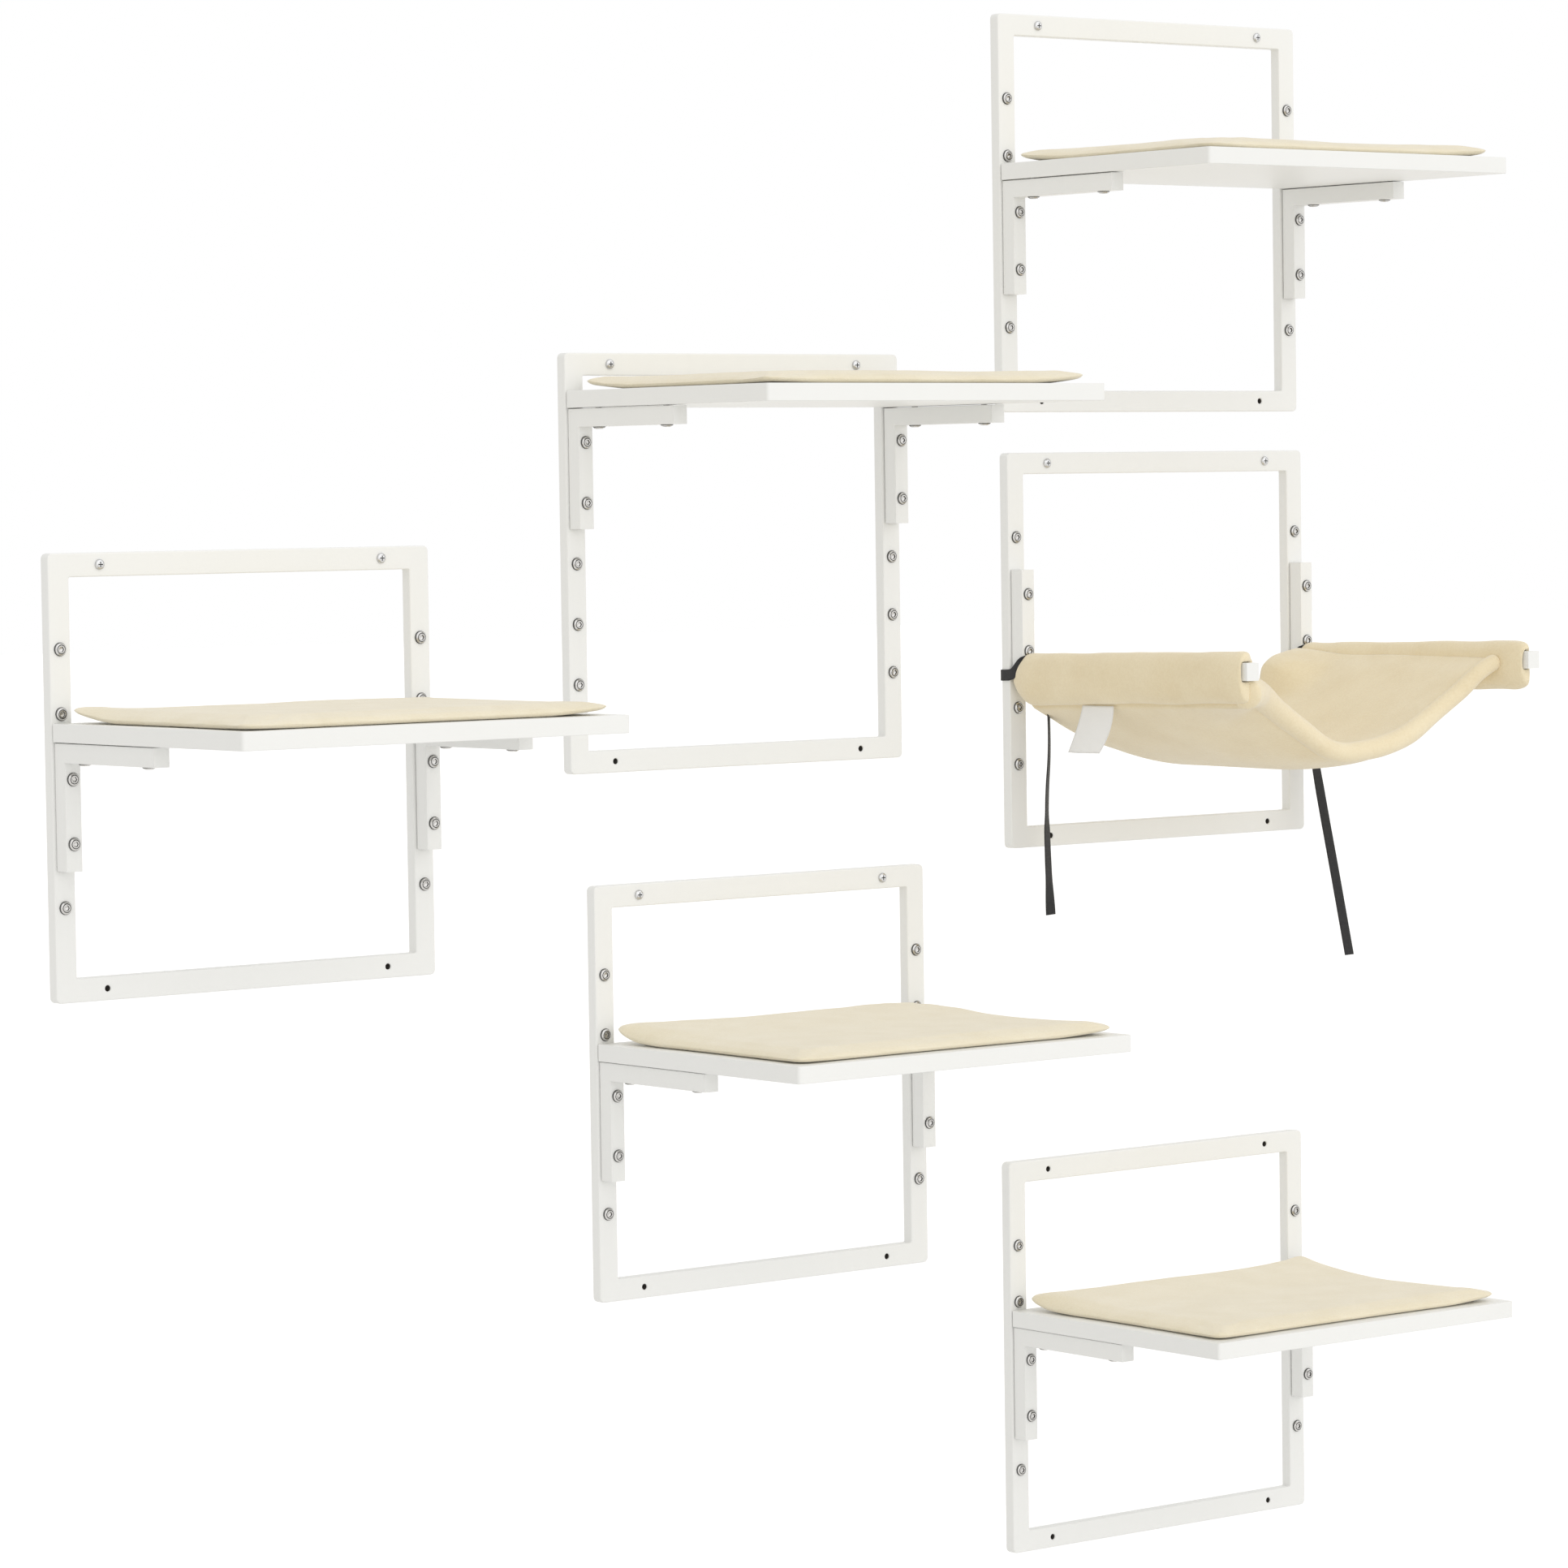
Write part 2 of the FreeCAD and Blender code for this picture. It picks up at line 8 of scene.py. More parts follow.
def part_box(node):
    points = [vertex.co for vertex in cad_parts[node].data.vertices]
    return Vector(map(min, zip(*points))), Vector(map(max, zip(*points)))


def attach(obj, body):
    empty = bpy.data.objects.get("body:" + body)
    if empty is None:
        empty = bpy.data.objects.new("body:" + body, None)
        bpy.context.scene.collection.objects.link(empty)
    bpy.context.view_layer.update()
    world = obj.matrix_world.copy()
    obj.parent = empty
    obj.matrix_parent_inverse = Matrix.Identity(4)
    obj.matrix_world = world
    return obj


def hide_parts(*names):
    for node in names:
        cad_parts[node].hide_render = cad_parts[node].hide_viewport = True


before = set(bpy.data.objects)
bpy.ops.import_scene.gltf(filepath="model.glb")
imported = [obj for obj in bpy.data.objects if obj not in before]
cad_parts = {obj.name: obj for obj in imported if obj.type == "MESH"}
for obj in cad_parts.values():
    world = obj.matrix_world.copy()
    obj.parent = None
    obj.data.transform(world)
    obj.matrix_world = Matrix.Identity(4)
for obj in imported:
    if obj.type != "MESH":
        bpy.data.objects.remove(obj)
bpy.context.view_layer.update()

# Cat climbing wall: five cushioned shelves and one hammock, each on its own wall frame.
# Metres, placed as the solids are: the wall is y = 0, the room is on -y, +z is up.
# A reach is a distance from the wall out into the room.

SHELVES = ("shelf_1", "shelf_2", "shelf_3", "shelf_4", "shelf_5")
BODY = "wall_units"

# Points nearer to each other than this are joined
WELD = 0.000002
# Edges of a piece stay crisp where they turn by more than this, in radians
WOOD_CREASE = 0.7
STEEL_CREASE = 0.6
WEBBING_CREASE = 0.9

# Wall frame
FRAME_HALF_WIDTH = 0.200
FRAME_HALF_HEIGHT = 0.195
FRAME_THICKNESS = 0.012
MEMBER_WIDTH = 0.021
FRAME_CORNER_RADIUS = 0.005
INNER_CORNER_RADIUS = 0.0015
FRAME_ARRIS = 0.0012
WALL_HOLE_ACROSS = 0.148
WALL_HOLE_RADIUS = 0.00275
LEG_ACROSS = 0.1895
BOLT_HOLE_RADIUS = 0.0031
BOLT_ROWS = (0.112, 0.056, 0.0, -0.056, -0.112)

# Brackets and boards
BRACKET_WIDTH = 0.016
BRACKET_DEPTH = 0.017
BRACKET_ARRIS = 0.0008
BOARD_THICKNESS = 0.016
BOARD_CORNER_RADIUS = 0.003
BOARD_ARRIS = 0.0007
# Groove between two wooden pieces that touch
CONTACT_GAP = 0.0008

# Fasteners
BOLT_SHANK_RADIUS = 0.003
BOLT_TIP_MARGIN = 0.001
BOARD_BOLT_REACHES = (0.050, 0.152)
BOARD_BOLT_LENGTH = 0.028
SCREW_SHANK_RADIUS = 0.00225
SCREW_LENGTH = 0.040
HEAD_SIDES = 24
# Heads as bands of a turned profile, plated and in painted shade by turns (the dark bands are painted
# shade: on a bolt the head's side, a ring round the socket and down the recess, on a screw down the
# cross): radius, height, shape of the recess
BOLT_HEAD = (
    ((0.0058, 0, None), (0.006, 0.00018, None)),
    ((0.006, 0.00018, None), (0.006, 0.0006, None), (0.00585, 0.0011, None), (0.0055, 0.0016, None)),
    ((0.0055, 0.0016, None), (0.0049, 0.0022, None), (0.0042, 0.0026, None)),
    ((0.0042, 0.0026, None), (0.0040, 0.0025, None), (0.0036, 0.0025, None), (0.0034, 0.0027, None)),
    ((0.0034, 0.0027, None), (0.0033, 0.0029, None), (0.0028, 0.0029, "hex"), (0.0026, 0.0027, "hex")),
    ((0.0026, 0.0027, "hex"), (0.00255, 0.0012, "hex")),
    ((0.00255, 0.0012, "hex"), (0.0012, 0.00085, None), (0.0002, 0.0007, None)),
)
SCREW_HEAD = (
    ((0.0045, 0, None), (0.00465, 0.0002, None), (0.00465, 0.0009, None), (0.0044, 0.0015, None),
     (0.0037, 0.00205, None), (0.0030, 0.0023, None), (0.0027, 0.0024, None),
     (0.00235, 0.0024, "cross")),
    ((0.00235, 0.0024, "cross"), (0.0019, 0.0012, "cross"), (0.0006, 0.0008, None)),
)

# Camera and light
CAMERA_PLACE = (-3.8008, -4.1651, 0.8583)
CAMERA_YAW = -0.6748
CAMERA_PITCH = -0.0518
CAMERA_ROLL = 0.0147
CAMERA_LENS = 128.15
SENSOR = 36.0
WORLD_LIGHT = 0.80
SHADE_TINT = (1.0, 0.985, 0.955)
SUN_TOWARDS = (0.12, -0.92, 0.37)
SUN_STRENGTH = 1.02
SUN_SPREAD = 1.6
FLOOR_HEIGHT = -0.5
FLOOR_REACH = 40.0
FLOOR_WHITE = 0.86
FLOOR_LIFT = 0.35

# Cushions
CUSHION_SPLITS = (56, 44)
CUSHION_SIDE_DRAW = 0.005
CUSHION_HEIGHT = 0.0100
CUSHION_SEAM = 0.0030
CUSHION_CORNER = 0.016
CUSHION_SHOULDER = 0.0135
CUSHION_UNDERCUT = 0.009
# How far each corner lifts off the board, wall left, wall right, front left and front right,
# and how far the whole edge at the wall stands up
CUSHION_LIFTS = {
    "shelf_1": (0.0100, 0.0035, 0.001, 0.005, 0),
    "shelf_2": (0.006, 0.003, 0.002, 0.005, 0),
    "shelf_3": (0.006, 0.003, 0.001, 0.004, 0),
    "shelf_4": (0.0045, -0.0030, 0.001, 0.0045, 0.0085),
    "shelf_5": (0.0030, 0.0065, 0.001, 0.005, 0.0080),
}
# How far a corner's lift spreads, and the wall edge's in the underside and in the top
CORNER_SPREAD = 0.070
UNDERSIDE_SPREAD = 0.035
TOP_SPREAD = 0.120
# The filling thins out towards a corner's tip, less so on a cushion whose wall edge stands up
TIP_REACH = 0.060
TIP_SLACK = 0.5
TIP_SLACK_LOST = 25
FILLING_PRESSURE = 4.0
FILLING_STEPS = 20

# Straps. The routes of the hanging ones are those of their solids: across, reach, drop
LEFT_SLEEVE_X = -0.1805
RIGHT_SLEEVE_X = 0.1985
WEBBING_WIDTH = 0.011
WEBBING_THICKNESS = 0.0012
WEBBING_SECTION = ((-1, 0), (-0.97, 0.75), (-0.88, 1), (-0.4, 0.85), (0, 0.85), (0.4, 0.85),
                   (0.88, 1), (0.97, 0.75), (1, 0), (0.97, -0.75), (0.88, -1), (0.4, -0.85),
                   (0, -0.85), (-0.4, -0.85), (-0.88, -1), (-0.97, -0.75))
TAIL_TOP = 0.6522
LEFT_TAIL_ROUTE = [(-0.1610, 0.0346, 0.0055), (-0.1640, 0.0403, 0.044), (-0.1735, 0.0445, 0.096),
                   (-0.1755, 0.0475, 0.154), (-0.1710, 0.046, 0.211)]
RIGHT_TAIL_ROUTE = [(0.2005, 0.0275, -0.0005), (0.2005, 0.032, 0.052), (0.2005, 0.047, 0.118),
                    (0.2010, 0.066, 0.196), (0.2020, 0.083, 0.272)]
# Turns of the hanging webbing: share of its length, turn in radians
LEFT_TAIL_TWISTS = ((0, -0.62), (0.07, -0.68), (0.5, -0.567), (0.62, -0.34), (0.8, -0.27), (1, 0.17))
RIGHT_TAIL_TWISTS = ((0, -0.9), (0.06, -0.62), (0.12, -0.25), (0.25, 0), (0.4, 0.16), (1, 0.16))
# Half of a strap loop, from the leg's front to behind the upright: across, reach, height
LOOP_LINE = ((0.0, 0.0304, 0.6915), (0.006, 0.0304, 0.6913), (0.0084, 0.0298, 0.6905),
             (0.0096, 0.0275, 0.6885), (0.0104, 0.0240, 0.6848), (0.0110, 0.0200, 0.6808),
             (0.0113, 0.0160, 0.6784), (0.0114, 0.0110, 0.6775), (0.0114, 0.0050, 0.6773),
             (0.0114, 0.0008, 0.6772), (0.0109, -0.0004, 0.6772), (0.0098, -0.0009, 0.6772),
             (0.0050, -0.0009, 0.6772))

# Sleeves: padded pockets on the hammock's arms. Seam and top have a height at the wall and one
# at the room end
SLEEVE_HALF_WIDTH = 0.013
SLEEVE_WALL_END = 0.014
SLEEVE_ROOM_END = 0.3425
SLEEVE_NOSE = 0.024
SLEEVE_SEAMS = (0.6460, 0.6552)
SLEEVE_TOPS = (0.6995, 0.7058)
# Rings over a sleeve's nose, along it and over its room end
SLEEVE_RINGS = (10, 48, 7)
# Room ends of the pockets: length of the rounding, height left and slant
SLEEVE_ENDS = {"left": (0.010, 0.86, 0.009), "right": (0.024, 0.68, 0.017)}
# The slot round the arm, from its lips inwards: margin round the arm, depth
SLOT_RINGS = ((0.0032, -0.0004), (0.0016, 0.0004), (0.0009, 0.0022), (0.0009, 0.012))
ARM_MIDDLE = 0.6855
ARM_HALF_WIDTH = 0.008
ARM_HALF_HEIGHT = 0.0085

# Sling between the sleeves
HAMMOCK_X = 0.009
SLING_REACHES = (0.020, 0.072, 0.232)
SLING_HEM_START = 0.205
SLING_FRONT = 0.2765
SLING_COLUMNS = 72
SLING_WALL_ROWS = (0.0, 0.0004, 0.0013, 0.0028, 0.005, 0.008, 0.012, 0.017, 0.023)
SLING_ROWS = 36
OUTSIDE_EDGE_X = 0.1895
INSIDE_EDGE = (0.1800, 0.6925)
# Lowest height and share of a full arc at each of the three reaches
SLING_OUTSIDE = ((0.592, 0.97), (0.584, 0.90), (0.583, 0.88))
SLING_INSIDE = ((0.601, 0.75), (0.593, 0.72), (0.592, 0.71))
# Fullness of the sling's flank at the wall: distance from the middle, how proud it stands.
# It is gone between the two reaches
FLANK_ROLL = ((0.120, 0), (0.1285, 0.0100), (0.1385, 0.0225), (0.151, 0.0220), (0.165, 0.0145),
              (0.1825, 0.004))
FLANK_ROLL_REACHES = (0.035, 0.100)

# The hem's middle line from the left end to the right: across from the middle, reach, height, radius
HEM_LINE = ((-0.1905, 0.3385, 0.6630, 0.0145), (-0.172, 0.3265, 0.6650, 0.0145),
            (-0.142, 0.306, 0.6612, 0.0132), (-0.106, 0.295, 0.6430, 0.0112),
            (-0.072, 0.2915, 0.6245, 0.0104), (-0.042, 0.291, 0.6075, 0.0098),
            (-0.018, 0.291, 0.6010, 0.0098), (0.010, 0.291, 0.6020, 0.0101),
            (0.040, 0.291, 0.6062, 0.0102), (0.072, 0.2915, 0.6158, 0.0101),
            (0.104, 0.294, 0.6350, 0.0092), (0.134, 0.299, 0.6548, 0.0088),
            (0.157, 0.305, 0.6738, 0.0082), (0.178, 0.311, 0.6860, 0.0080))
HEM_RINGS = 84
HEM_LENGTH = 0.40
HEM_END = 0.012

# Care label: width, drop, top and the reach of its near edge
LABEL_WIDTH = 0.045
LABEL_DROP = 0.046
LABEL_TOP = 0.6492
LABEL_REACH = 0.107
LABEL_THICKNESS = 0.0006


# Materials

class Mask:
    """A number that varies over a surface, for sums written as plain expressions."""

    def __init__(self, nodes, socket):
        self.nodes = nodes
        self.socket = socket

    def maths(self, operation, first, second):
        return self.nodes.node("ShaderNodeMath", {"operation": operation}, {0: first, 1: second})

    def __add__(self, other):
        return self.maths("ADD", self, other)

    def __sub__(self, other):
        return self.maths("SUBTRACT", self, other)

    def __mul__(self, other):
        return self.maths("MULTIPLY", self, other)

    def __rsub__(self, other):
        return self.maths("SUBTRACT", other, self)

    __radd__ = __add__
    __rmul__ = __mul__

    def between(self, low, high):
        """0 below low, 1 above high and a straight slope in between."""
        sockets = {"Value": self, "From Min": low, "From Max": high}
        return self.nodes.node("ShaderNodeMapRange", {"clamp": True}, sockets)


class Nodes:
    """The nodes of a material or of the world, which all lead to its last node."""

    def __init__(self, owner, last):
        owner.use_nodes = True
        self.tree = owner.node_tree
        self.last = self.tree.nodes[last]

    def feed(self, socket, value):
        """Link a mask to a socket, or set the socket to a plain value."""
        if isinstance(value, Mask):
            self.tree.links.new(value.socket, socket)
        else:
            socket.default_value = value

    def give(self, socket, value):
        self.feed(self.last.inputs[socket], value)

    def node(self, kind, settings, sockets, output=0):
        """Any node: its settings first, then its sockets."""
        made = self.tree.nodes.new(kind)
        for setting, value in settings.items():
            setattr(made, setting, value)
        for socket, value in sockets.items():
            self.feed(made.inputs[socket], value)
        return Mask(self, made.outputs[output])

    def blend(self, mask, first, second):
        """From the first colour at 0 to the second at 1."""
        sockets = {0: mask, 6: (*first, 1), 7: (*second, 1)}
        return self.node("ShaderNodeMix", {"data_type": "RGBA"}, sockets, 2)

    def seen_directly(self):
        """1 for what the camera, a reflection or a clear piece sees, 0 for light that spreads."""
        eye, glossy, clear = (self.node("ShaderNodeLightPath", {}, {}, ray) for ray in
                              ("Is Camera Ray", "Is Glossy Ray", "Is Transmission Ray"))
        return eye.maths("MAXIMUM", eye.maths("MAXIMUM", eye, glossy), clear)


class Finish(Nodes):
    """One material. even holds the values that are the same all over it."""

    def __init__(self, name, even):
        self.material = bpy.data.materials.new(name)
        super().__init__(self.material, "Principled BSDF")
        for socket, value in even.items():
            self.give(socket, value)

    def place(self, stretch=(1, 1, 1)):
        """Coordinates that stay with the piece, in metres, stretched along its axes."""
        here = self.node("ShaderNodeTexCoord", {}, {}, "Object")
        return self.node("ShaderNodeVectorMath", {"operation": "MULTIPLY"}, {0: here, 1: stretch})

    def speckle(self, scale, detail=2.0, roughness=0.5, stretch=(1, 1, 1)):
        """Soft random spots, scale of them to a metre."""
        sockets = {"Vector": self.place(stretch), "Scale": scale, "Detail": detail,
                   "Roughness": roughness}
        return self.node("ShaderNodeTexNoise", {}, sockets)

    def ribs(self, scale, direction):
        """Even ribs across one direction."""
        sockets = {"Vector": self.place(), "Scale": scale, "Distortion": 0.0}
        return self.node("ShaderNodeTexWave", {"bands_direction": direction}, sockets, "Fac")

    def relief(self, height, distance):
        """Bumps of a real height on the surface."""
        sockets = {"Height": height, "Distance": distance, "Strength": 1.0}
        self.give("Normal", self.node("ShaderNodeBump", {}, sockets))


def white_paint():
    """Satin white lacquer, with the wood's grain faintly under it."""
    finish = Finish("white_paint", {"Specular IOR Level": 0.45})
    grain = finish.speckle(60.0, 3.0, 0.6, (1.0, 1.0, 0.12))
    peel = finish.speckle(700.0)
    cloudy = finish.speckle(9.0)
    tone = cloudy * 0.6 + grain * 0.4
    finish.give("Base Color", finish.blend(tone, (0.858, 0.862, 0.846), (0.893, 0.898, 0.884)))
    finish.give("Roughness", 0.32 + cloudy * 0.12 + peel * 0.06)
    finish.relief(peel * 0.5 + grain * 0.5, 0.00008)
    return finish.material


def hole_painted_shade():
    """Painted shade: near-black inside a drilled hole, in place of the shade down the hole, darker
    than raw board.
    """
    finish = Finish("hole_painted_shade", {"Specular IOR Level": 0.1})
    fine_mottle = finish.speckle(900.0, 3.0)
    finish.give("Base Color", finish.blend(fine_mottle, (0.05, 0.046, 0.042), (0.12, 0.11, 0.1)))
    finish.give("Roughness", 0.8 + fine_mottle * 0.15)
    return finish.material


def plated_steel(name, bright, dull):
    """Plated steel, faintly cloudy in tone, with a fine speckled bump."""
    finish = Finish(name, {"Metallic": 1.0})
    cloudy = finish.speckle(500.0, 3.0)
    finish.give("Base Color", finish.blend(cloudy, dull, bright))
    finish.give("Roughness", 0.2 + cloudy * 0.14)
    finish.relief(finish.speckle(2600.0), 0.00002)
    return finish.material


def fastener_painted_shade():
    """Painted shade: near-black metal for the dark bands of the fastener heads, on their sides, round
    the sockets and down the recesses.
    """
    finish = Finish("fastener_painted_shade", {"Metallic": 0.8})
    cloudy = finish.speckle(900.0, 3.0)
    finish.give("Base Color", finish.blend(cloudy, (0.05, 0.05, 0.05), (0.16, 0.16, 0.155)))
    finish.give("Roughness", 0.4 + cloudy * 0.2)
    return finish.material


def plush(name, deep, light):
    """Short crystal plush: a soft nap with lighter and darker strokes."""
    finish = Finish(name, {"Specular IOR Level": 0.15, "Sheen Weight": 0.6, "Sheen Roughness": 0.5,
                           "Sheen Tint": (1.0, 0.99, 0.97, 1)})
    strokes = finish.speckle(22.0, 3.0, 0.55)
    tufts = finish.speckle(420.0, 3.0, 0.6)
    fine_mottle = finish.speckle(1700.0, 2.0, 0.6)
    tone = (strokes * 0.45 + tufts * 0.35 + fine_mottle * 0.2).between(0.34, 0.66)
    finish.give("Base Color", finish.blend(tone, deep, light))
    finish.give("Roughness", 0.86 + fine_mottle * 0.12)
    finish.relief(tufts * 0.6 + fine_mottle * 0.4, 0.0006)
    return finish.material


def strap_webbing():
    """Near-black woven webbing with ribs across it."""
    finish = Finish("strap_webbing", {"Specular IOR Level": 0.3, "Sheen Weight": 0.2})
    ribs = finish.ribs(330.0, "Z")
    yarn = finish.speckle(1900.0)
    tone = ribs * 0.6 + yarn * 0.4
    finish.give("Base Color", finish.blend(tone, (0.008, 0.008, 0.009), (0.035, 0.035, 0.038)))
    finish.give("Roughness", 0.62 + yarn * 0.2)
    finish.relief(ribs * 0.7 + yarn * 0.3, 0.00025)
    return finish.material


def label_cloth():
    """White woven tape, blank."""
    finish = Finish("label_cloth", {"Specular IOR Level": 0.25, "Sheen Weight": 0.1})
    weft = finish.ribs(700.0, "Z")
    warp = finish.ribs(700.0, "Y")
    cloudy = finish.speckle(60.0)
    tone = weft * 0.35 + warp * 0.35 + cloudy * 0.3
    finish.give("Base Color", finish.blend(tone, (0.88, 0.88, 0.87), (0.96, 0.96, 0.95)))
    finish.give("Roughness", 0.55 + cloudy * 0.15)
    finish.relief(weft * 0.5 + warp * 0.5, 0.00006)
    return finish.material


def floor_paint():
    """Pale floor: lit as it stands, a little lifted where the eye or a reflection meets it."""
    finish = Finish("floor_paint", {"Specular IOR Level": 0.0, "Roughness": 0.9,
                                    "Emission Strength": FLOOR_LIFT})
    low, high = ((FLOOR_WHITE + shift,) * 3 for shift in (-0.01, 0.01))
    finish.give("Base Color", finish.blend(finish.speckle(0.6), low, high))
    finish.give("Emission Color", finish.blend(finish.seen_directly(), (0, 0, 0), (1, 1, 1)))
    return finish.material


def make_finishes():
    return {
        "paint": white_paint(),
        # painted shade for the inside of the drilled holes
        "hole_shade": hole_painted_shade(),
        "nickel": plated_steel("nickel_plate", (0.68, 0.67, 0.65), (0.46, 0.45, 0.44)),
        "zinc": plated_steel("zinc_plate", (0.70, 0.70, 0.70), (0.48, 0.48, 0.48)),
        # painted shade for the dark bands of the fastener heads
        "head_shade": fastener_painted_shade(),
        "cushion": plush("cushion_plush", (0.82, 0.735, 0.535), (0.905, 0.835, 0.66)),
        "hammock": plush("hammock_plush", (0.825, 0.70, 0.465), (0.91, 0.805, 0.58)),
        "webbing": strap_webbing(),
        "label": label_cloth(),
        "floor": floor_paint(),
    }


# Camera, light and floor

def link(name, data):
    made = bpy.data.objects.new(name, data)
    bpy.context.scene.collection.objects.link(made)
    return made


def make_camera():
    """The photograph's camera."""
    data = bpy.data.cameras.new("camera")
    data.sensor_width = SENSOR
    data.lens = CAMERA_LENS
    data.clip_end = 100.0
    turn = (Matrix.Rotation(CAMERA_YAW, 3, "Z") @ Matrix.Rotation(CAMERA_PITCH, 3, "X")
            @ Matrix.Rotation(CAMERA_ROLL, 3, "Y"))
    right, ahead, up = turn.col
    camera = link("camera", data)
    camera.matrix_world = Matrix((
        (right.x, up.x, -ahead.x, CAMERA_PLACE[0]),
        (right.y, up.y, -ahead.y, CAMERA_PLACE[1]),
        (right.z, up.z, -ahead.z, CAMERA_PLACE[2]),
        (0, 0, 0, 1)))
    bpy.context.scene.camera = camera


def make_light():
    """A white room that lights evenly, and one wide soft lamp from the front and right."""
    world = bpy.data.worlds.new("white_room")
    bpy.context.scene.world = world
    room = Nodes(world, "Background")
    shade = [WORLD_LIGHT * part for part in SHADE_TINT]
    room.give("Color", room.blend(room.seen_directly(), shade, (1, 1, 1)))
    sun = bpy.data.lights.new("soft_lamp", "SUN")
    sun.energy = SUN_STRENGTH
    sun.angle = SUN_SPREAD
    lamp = link("soft_lamp", sun)
    lamp.rotation_mode = "QUATERNION"
    lamp.rotation_quaternion = Vector(SUN_TOWARDS).to_track_quat("Z", "Y")


def make_floor(finishes):
    shape = bmesh.new()
    bmesh.ops.create_grid(shape, x_segments=8, y_segments=8, size=FLOOR_REACH)
    mesh = bpy.data.meshes.new("floor")
    shape.to_mesh(mesh)
    shape.free()
    mesh.materials.append(finishes["floor"])
    floor = link("floor", mesh)
    floor.location.z = FLOOR_HEIGHT


# Building helpers

def eased(low, high, value):
    """From 0 at low to 1 at high, flat at both."""
    share = min(max((value - low) / (high - low), 0), 1)
    return share * share * (3 - 2 * share)


def swell(distance, reach):
    """How full a pad is at a distance from its edge, from 0 to 1."""
    share = min(distance / reach, 1)
    return math.sqrt(1 - (1 - share) ** 2)


def stretched(value, power):
    """A sine or cosine, squarer or rounder."""
    return math.copysign(abs(value) ** power, value)


def uneven(amount, *place):
    """A soft irregularity of cloth, up to amount either way."""
    return amount * noise.noise(Vector(place))


def ring_of(point_at, count):
    """Points round a closed outline, from a function of the turn."""
    return [point_at(2 * math.pi * step / count) for step in range(count)]


def skin(shape, rings, start_cap=True, end_cap=True, look=0):
    """Faces between closed rings of equally many points."""
    rows = [[shape.verts.new(point) for point in ring] for ring in rings]
    count = len(rows[0])
    for near, far in zip(rows, rows[1:]):
        for step in range(count):
            ahead = (step + 1) % count
            face = shape.faces.new((near[step], near[ahead], far[ahead], far[step]))
            face.material_index = look
    if start_cap:
        shape.faces.new(rows[0][::-1]).material_index = look
    if end_cap:
        shape.faces.new(rows[-1]).material_index = look
    return rows


def cover(shape, grid):
    """Faces over a grid of points."""
    for near, far in zip(grid, grid[1:]):
        for step in range(len(near) - 1):
            shape.faces.new((near[step], far[step], far[step + 1], near[step + 1]))


def make_piece(node, ending, shape, looks, crease=None, body=BODY):
    """Put a shape in the scene on its body, in place of the solid that node names."""
    bmesh.ops.recalc_face_normals(shape, faces=shape.faces)
    mesh = bpy.data.meshes.new(node + ending)
    shape.to_mesh(mesh)
    shape.free()
    mesh.shade_smooth()
    if crease:
        mesh.set_sharp_from_angle(angle=crease)
    for look in looks:
        mesh.materials.append(look)
    piece = link(node + ending, mesh)
    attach(piece, body)
    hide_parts(node)
    return piece


def mesh_of(curve):
    """The mesh that a curve makes. The curve itself goes."""
    holder = link("holder", curve)
    bpy.context.view_layer.update()
    view = bpy.context.evaluated_depsgraph_get()
    mesh = bpy.data.meshes.new_from_object(holder.evaluated_get(view))
    bpy.data.objects.remove(holder)
    bpy.data.curves.remove(curve)
    return mesh


# Straps

def flowing_line(points):
    """Points along the smooth curve that a strap follows."""
    curve = bpy.data.curves.new("line", "CURVE")
    curve.dimensions = "3D"
    curve.resolution_u = 10
    spline = curve.splines.new("NURBS")
    spline.points.add(len(points) - 1)
    for knot, point in zip(spline.points, points):
        knot.co = (*point, 1)
    spline.order_u = 3
    spline.use_endpoint_u = True
    mesh = mesh_of(curve)
    found = [vertex.co.copy() for vertex in mesh.vertices]
    bpy.data.meshes.remove(mesh)
    if (found[0] - Vector(points[0])).length > (found[-1] - Vector(points[0])).length:
        found.reverse()
    return found


def webbing_ring(middle, across, out):
    """Outline of the webbing: flat, with rolled edges."""
    half = WEBBING_WIDTH / 2
    thick = WEBBING_THICKNESS / 2
    return [middle + across * (half * a) + out * (thick * b) for a, b in WEBBING_SECTION]


def way_at(line, place):
    """The way a line runs at one of its points."""
    return (line[min(place + 1, len(line) - 1)] - line[max(place - 1, 0)]).normalized()


def make_webbing(node, rings, finishes):
    shape = bmesh.new()
    skin(shape, rings)
    return make_piece(node, "_webbing", shape, [finishes["webbing"]], WEBBING_CREASE)


def twist_at(twists, share):
    """Turn of the webbing at a share of its length, between the listed ones."""
    for (start, first), (end, last) in zip(twists, twists[1:]):
        if share <= end:
            return first + (last - first) * eased(start, end, share)
    return twists[-1][1]


def hanging_strap(side, route, twists, finishes):
    """A loose webbing end: it turns edge-on and back as it falls."""
    path = flowing_line([(x, -reach, TAIL_TOP - drop) for x, reach, drop in route])
    lengths = [0.0]
    for near, far in zip(path, path[1:]):
        lengths.append(lengths[-1] + (far - near).length)
    rings = []
    for place, point in enumerate(path):
        along = way_at(path, place)
        turn = twist_at(twists, lengths[place] / lengths[-1])
        across = Matrix.Rotation(turn, 3, along) @ along.cross(Vector((0, 1, 0))).normalized()
        rings.append(webbing_ring(point, across, along.cross(across)))
    piece = make_webbing("hammock_strap_tail_" + side, rings, finishes)


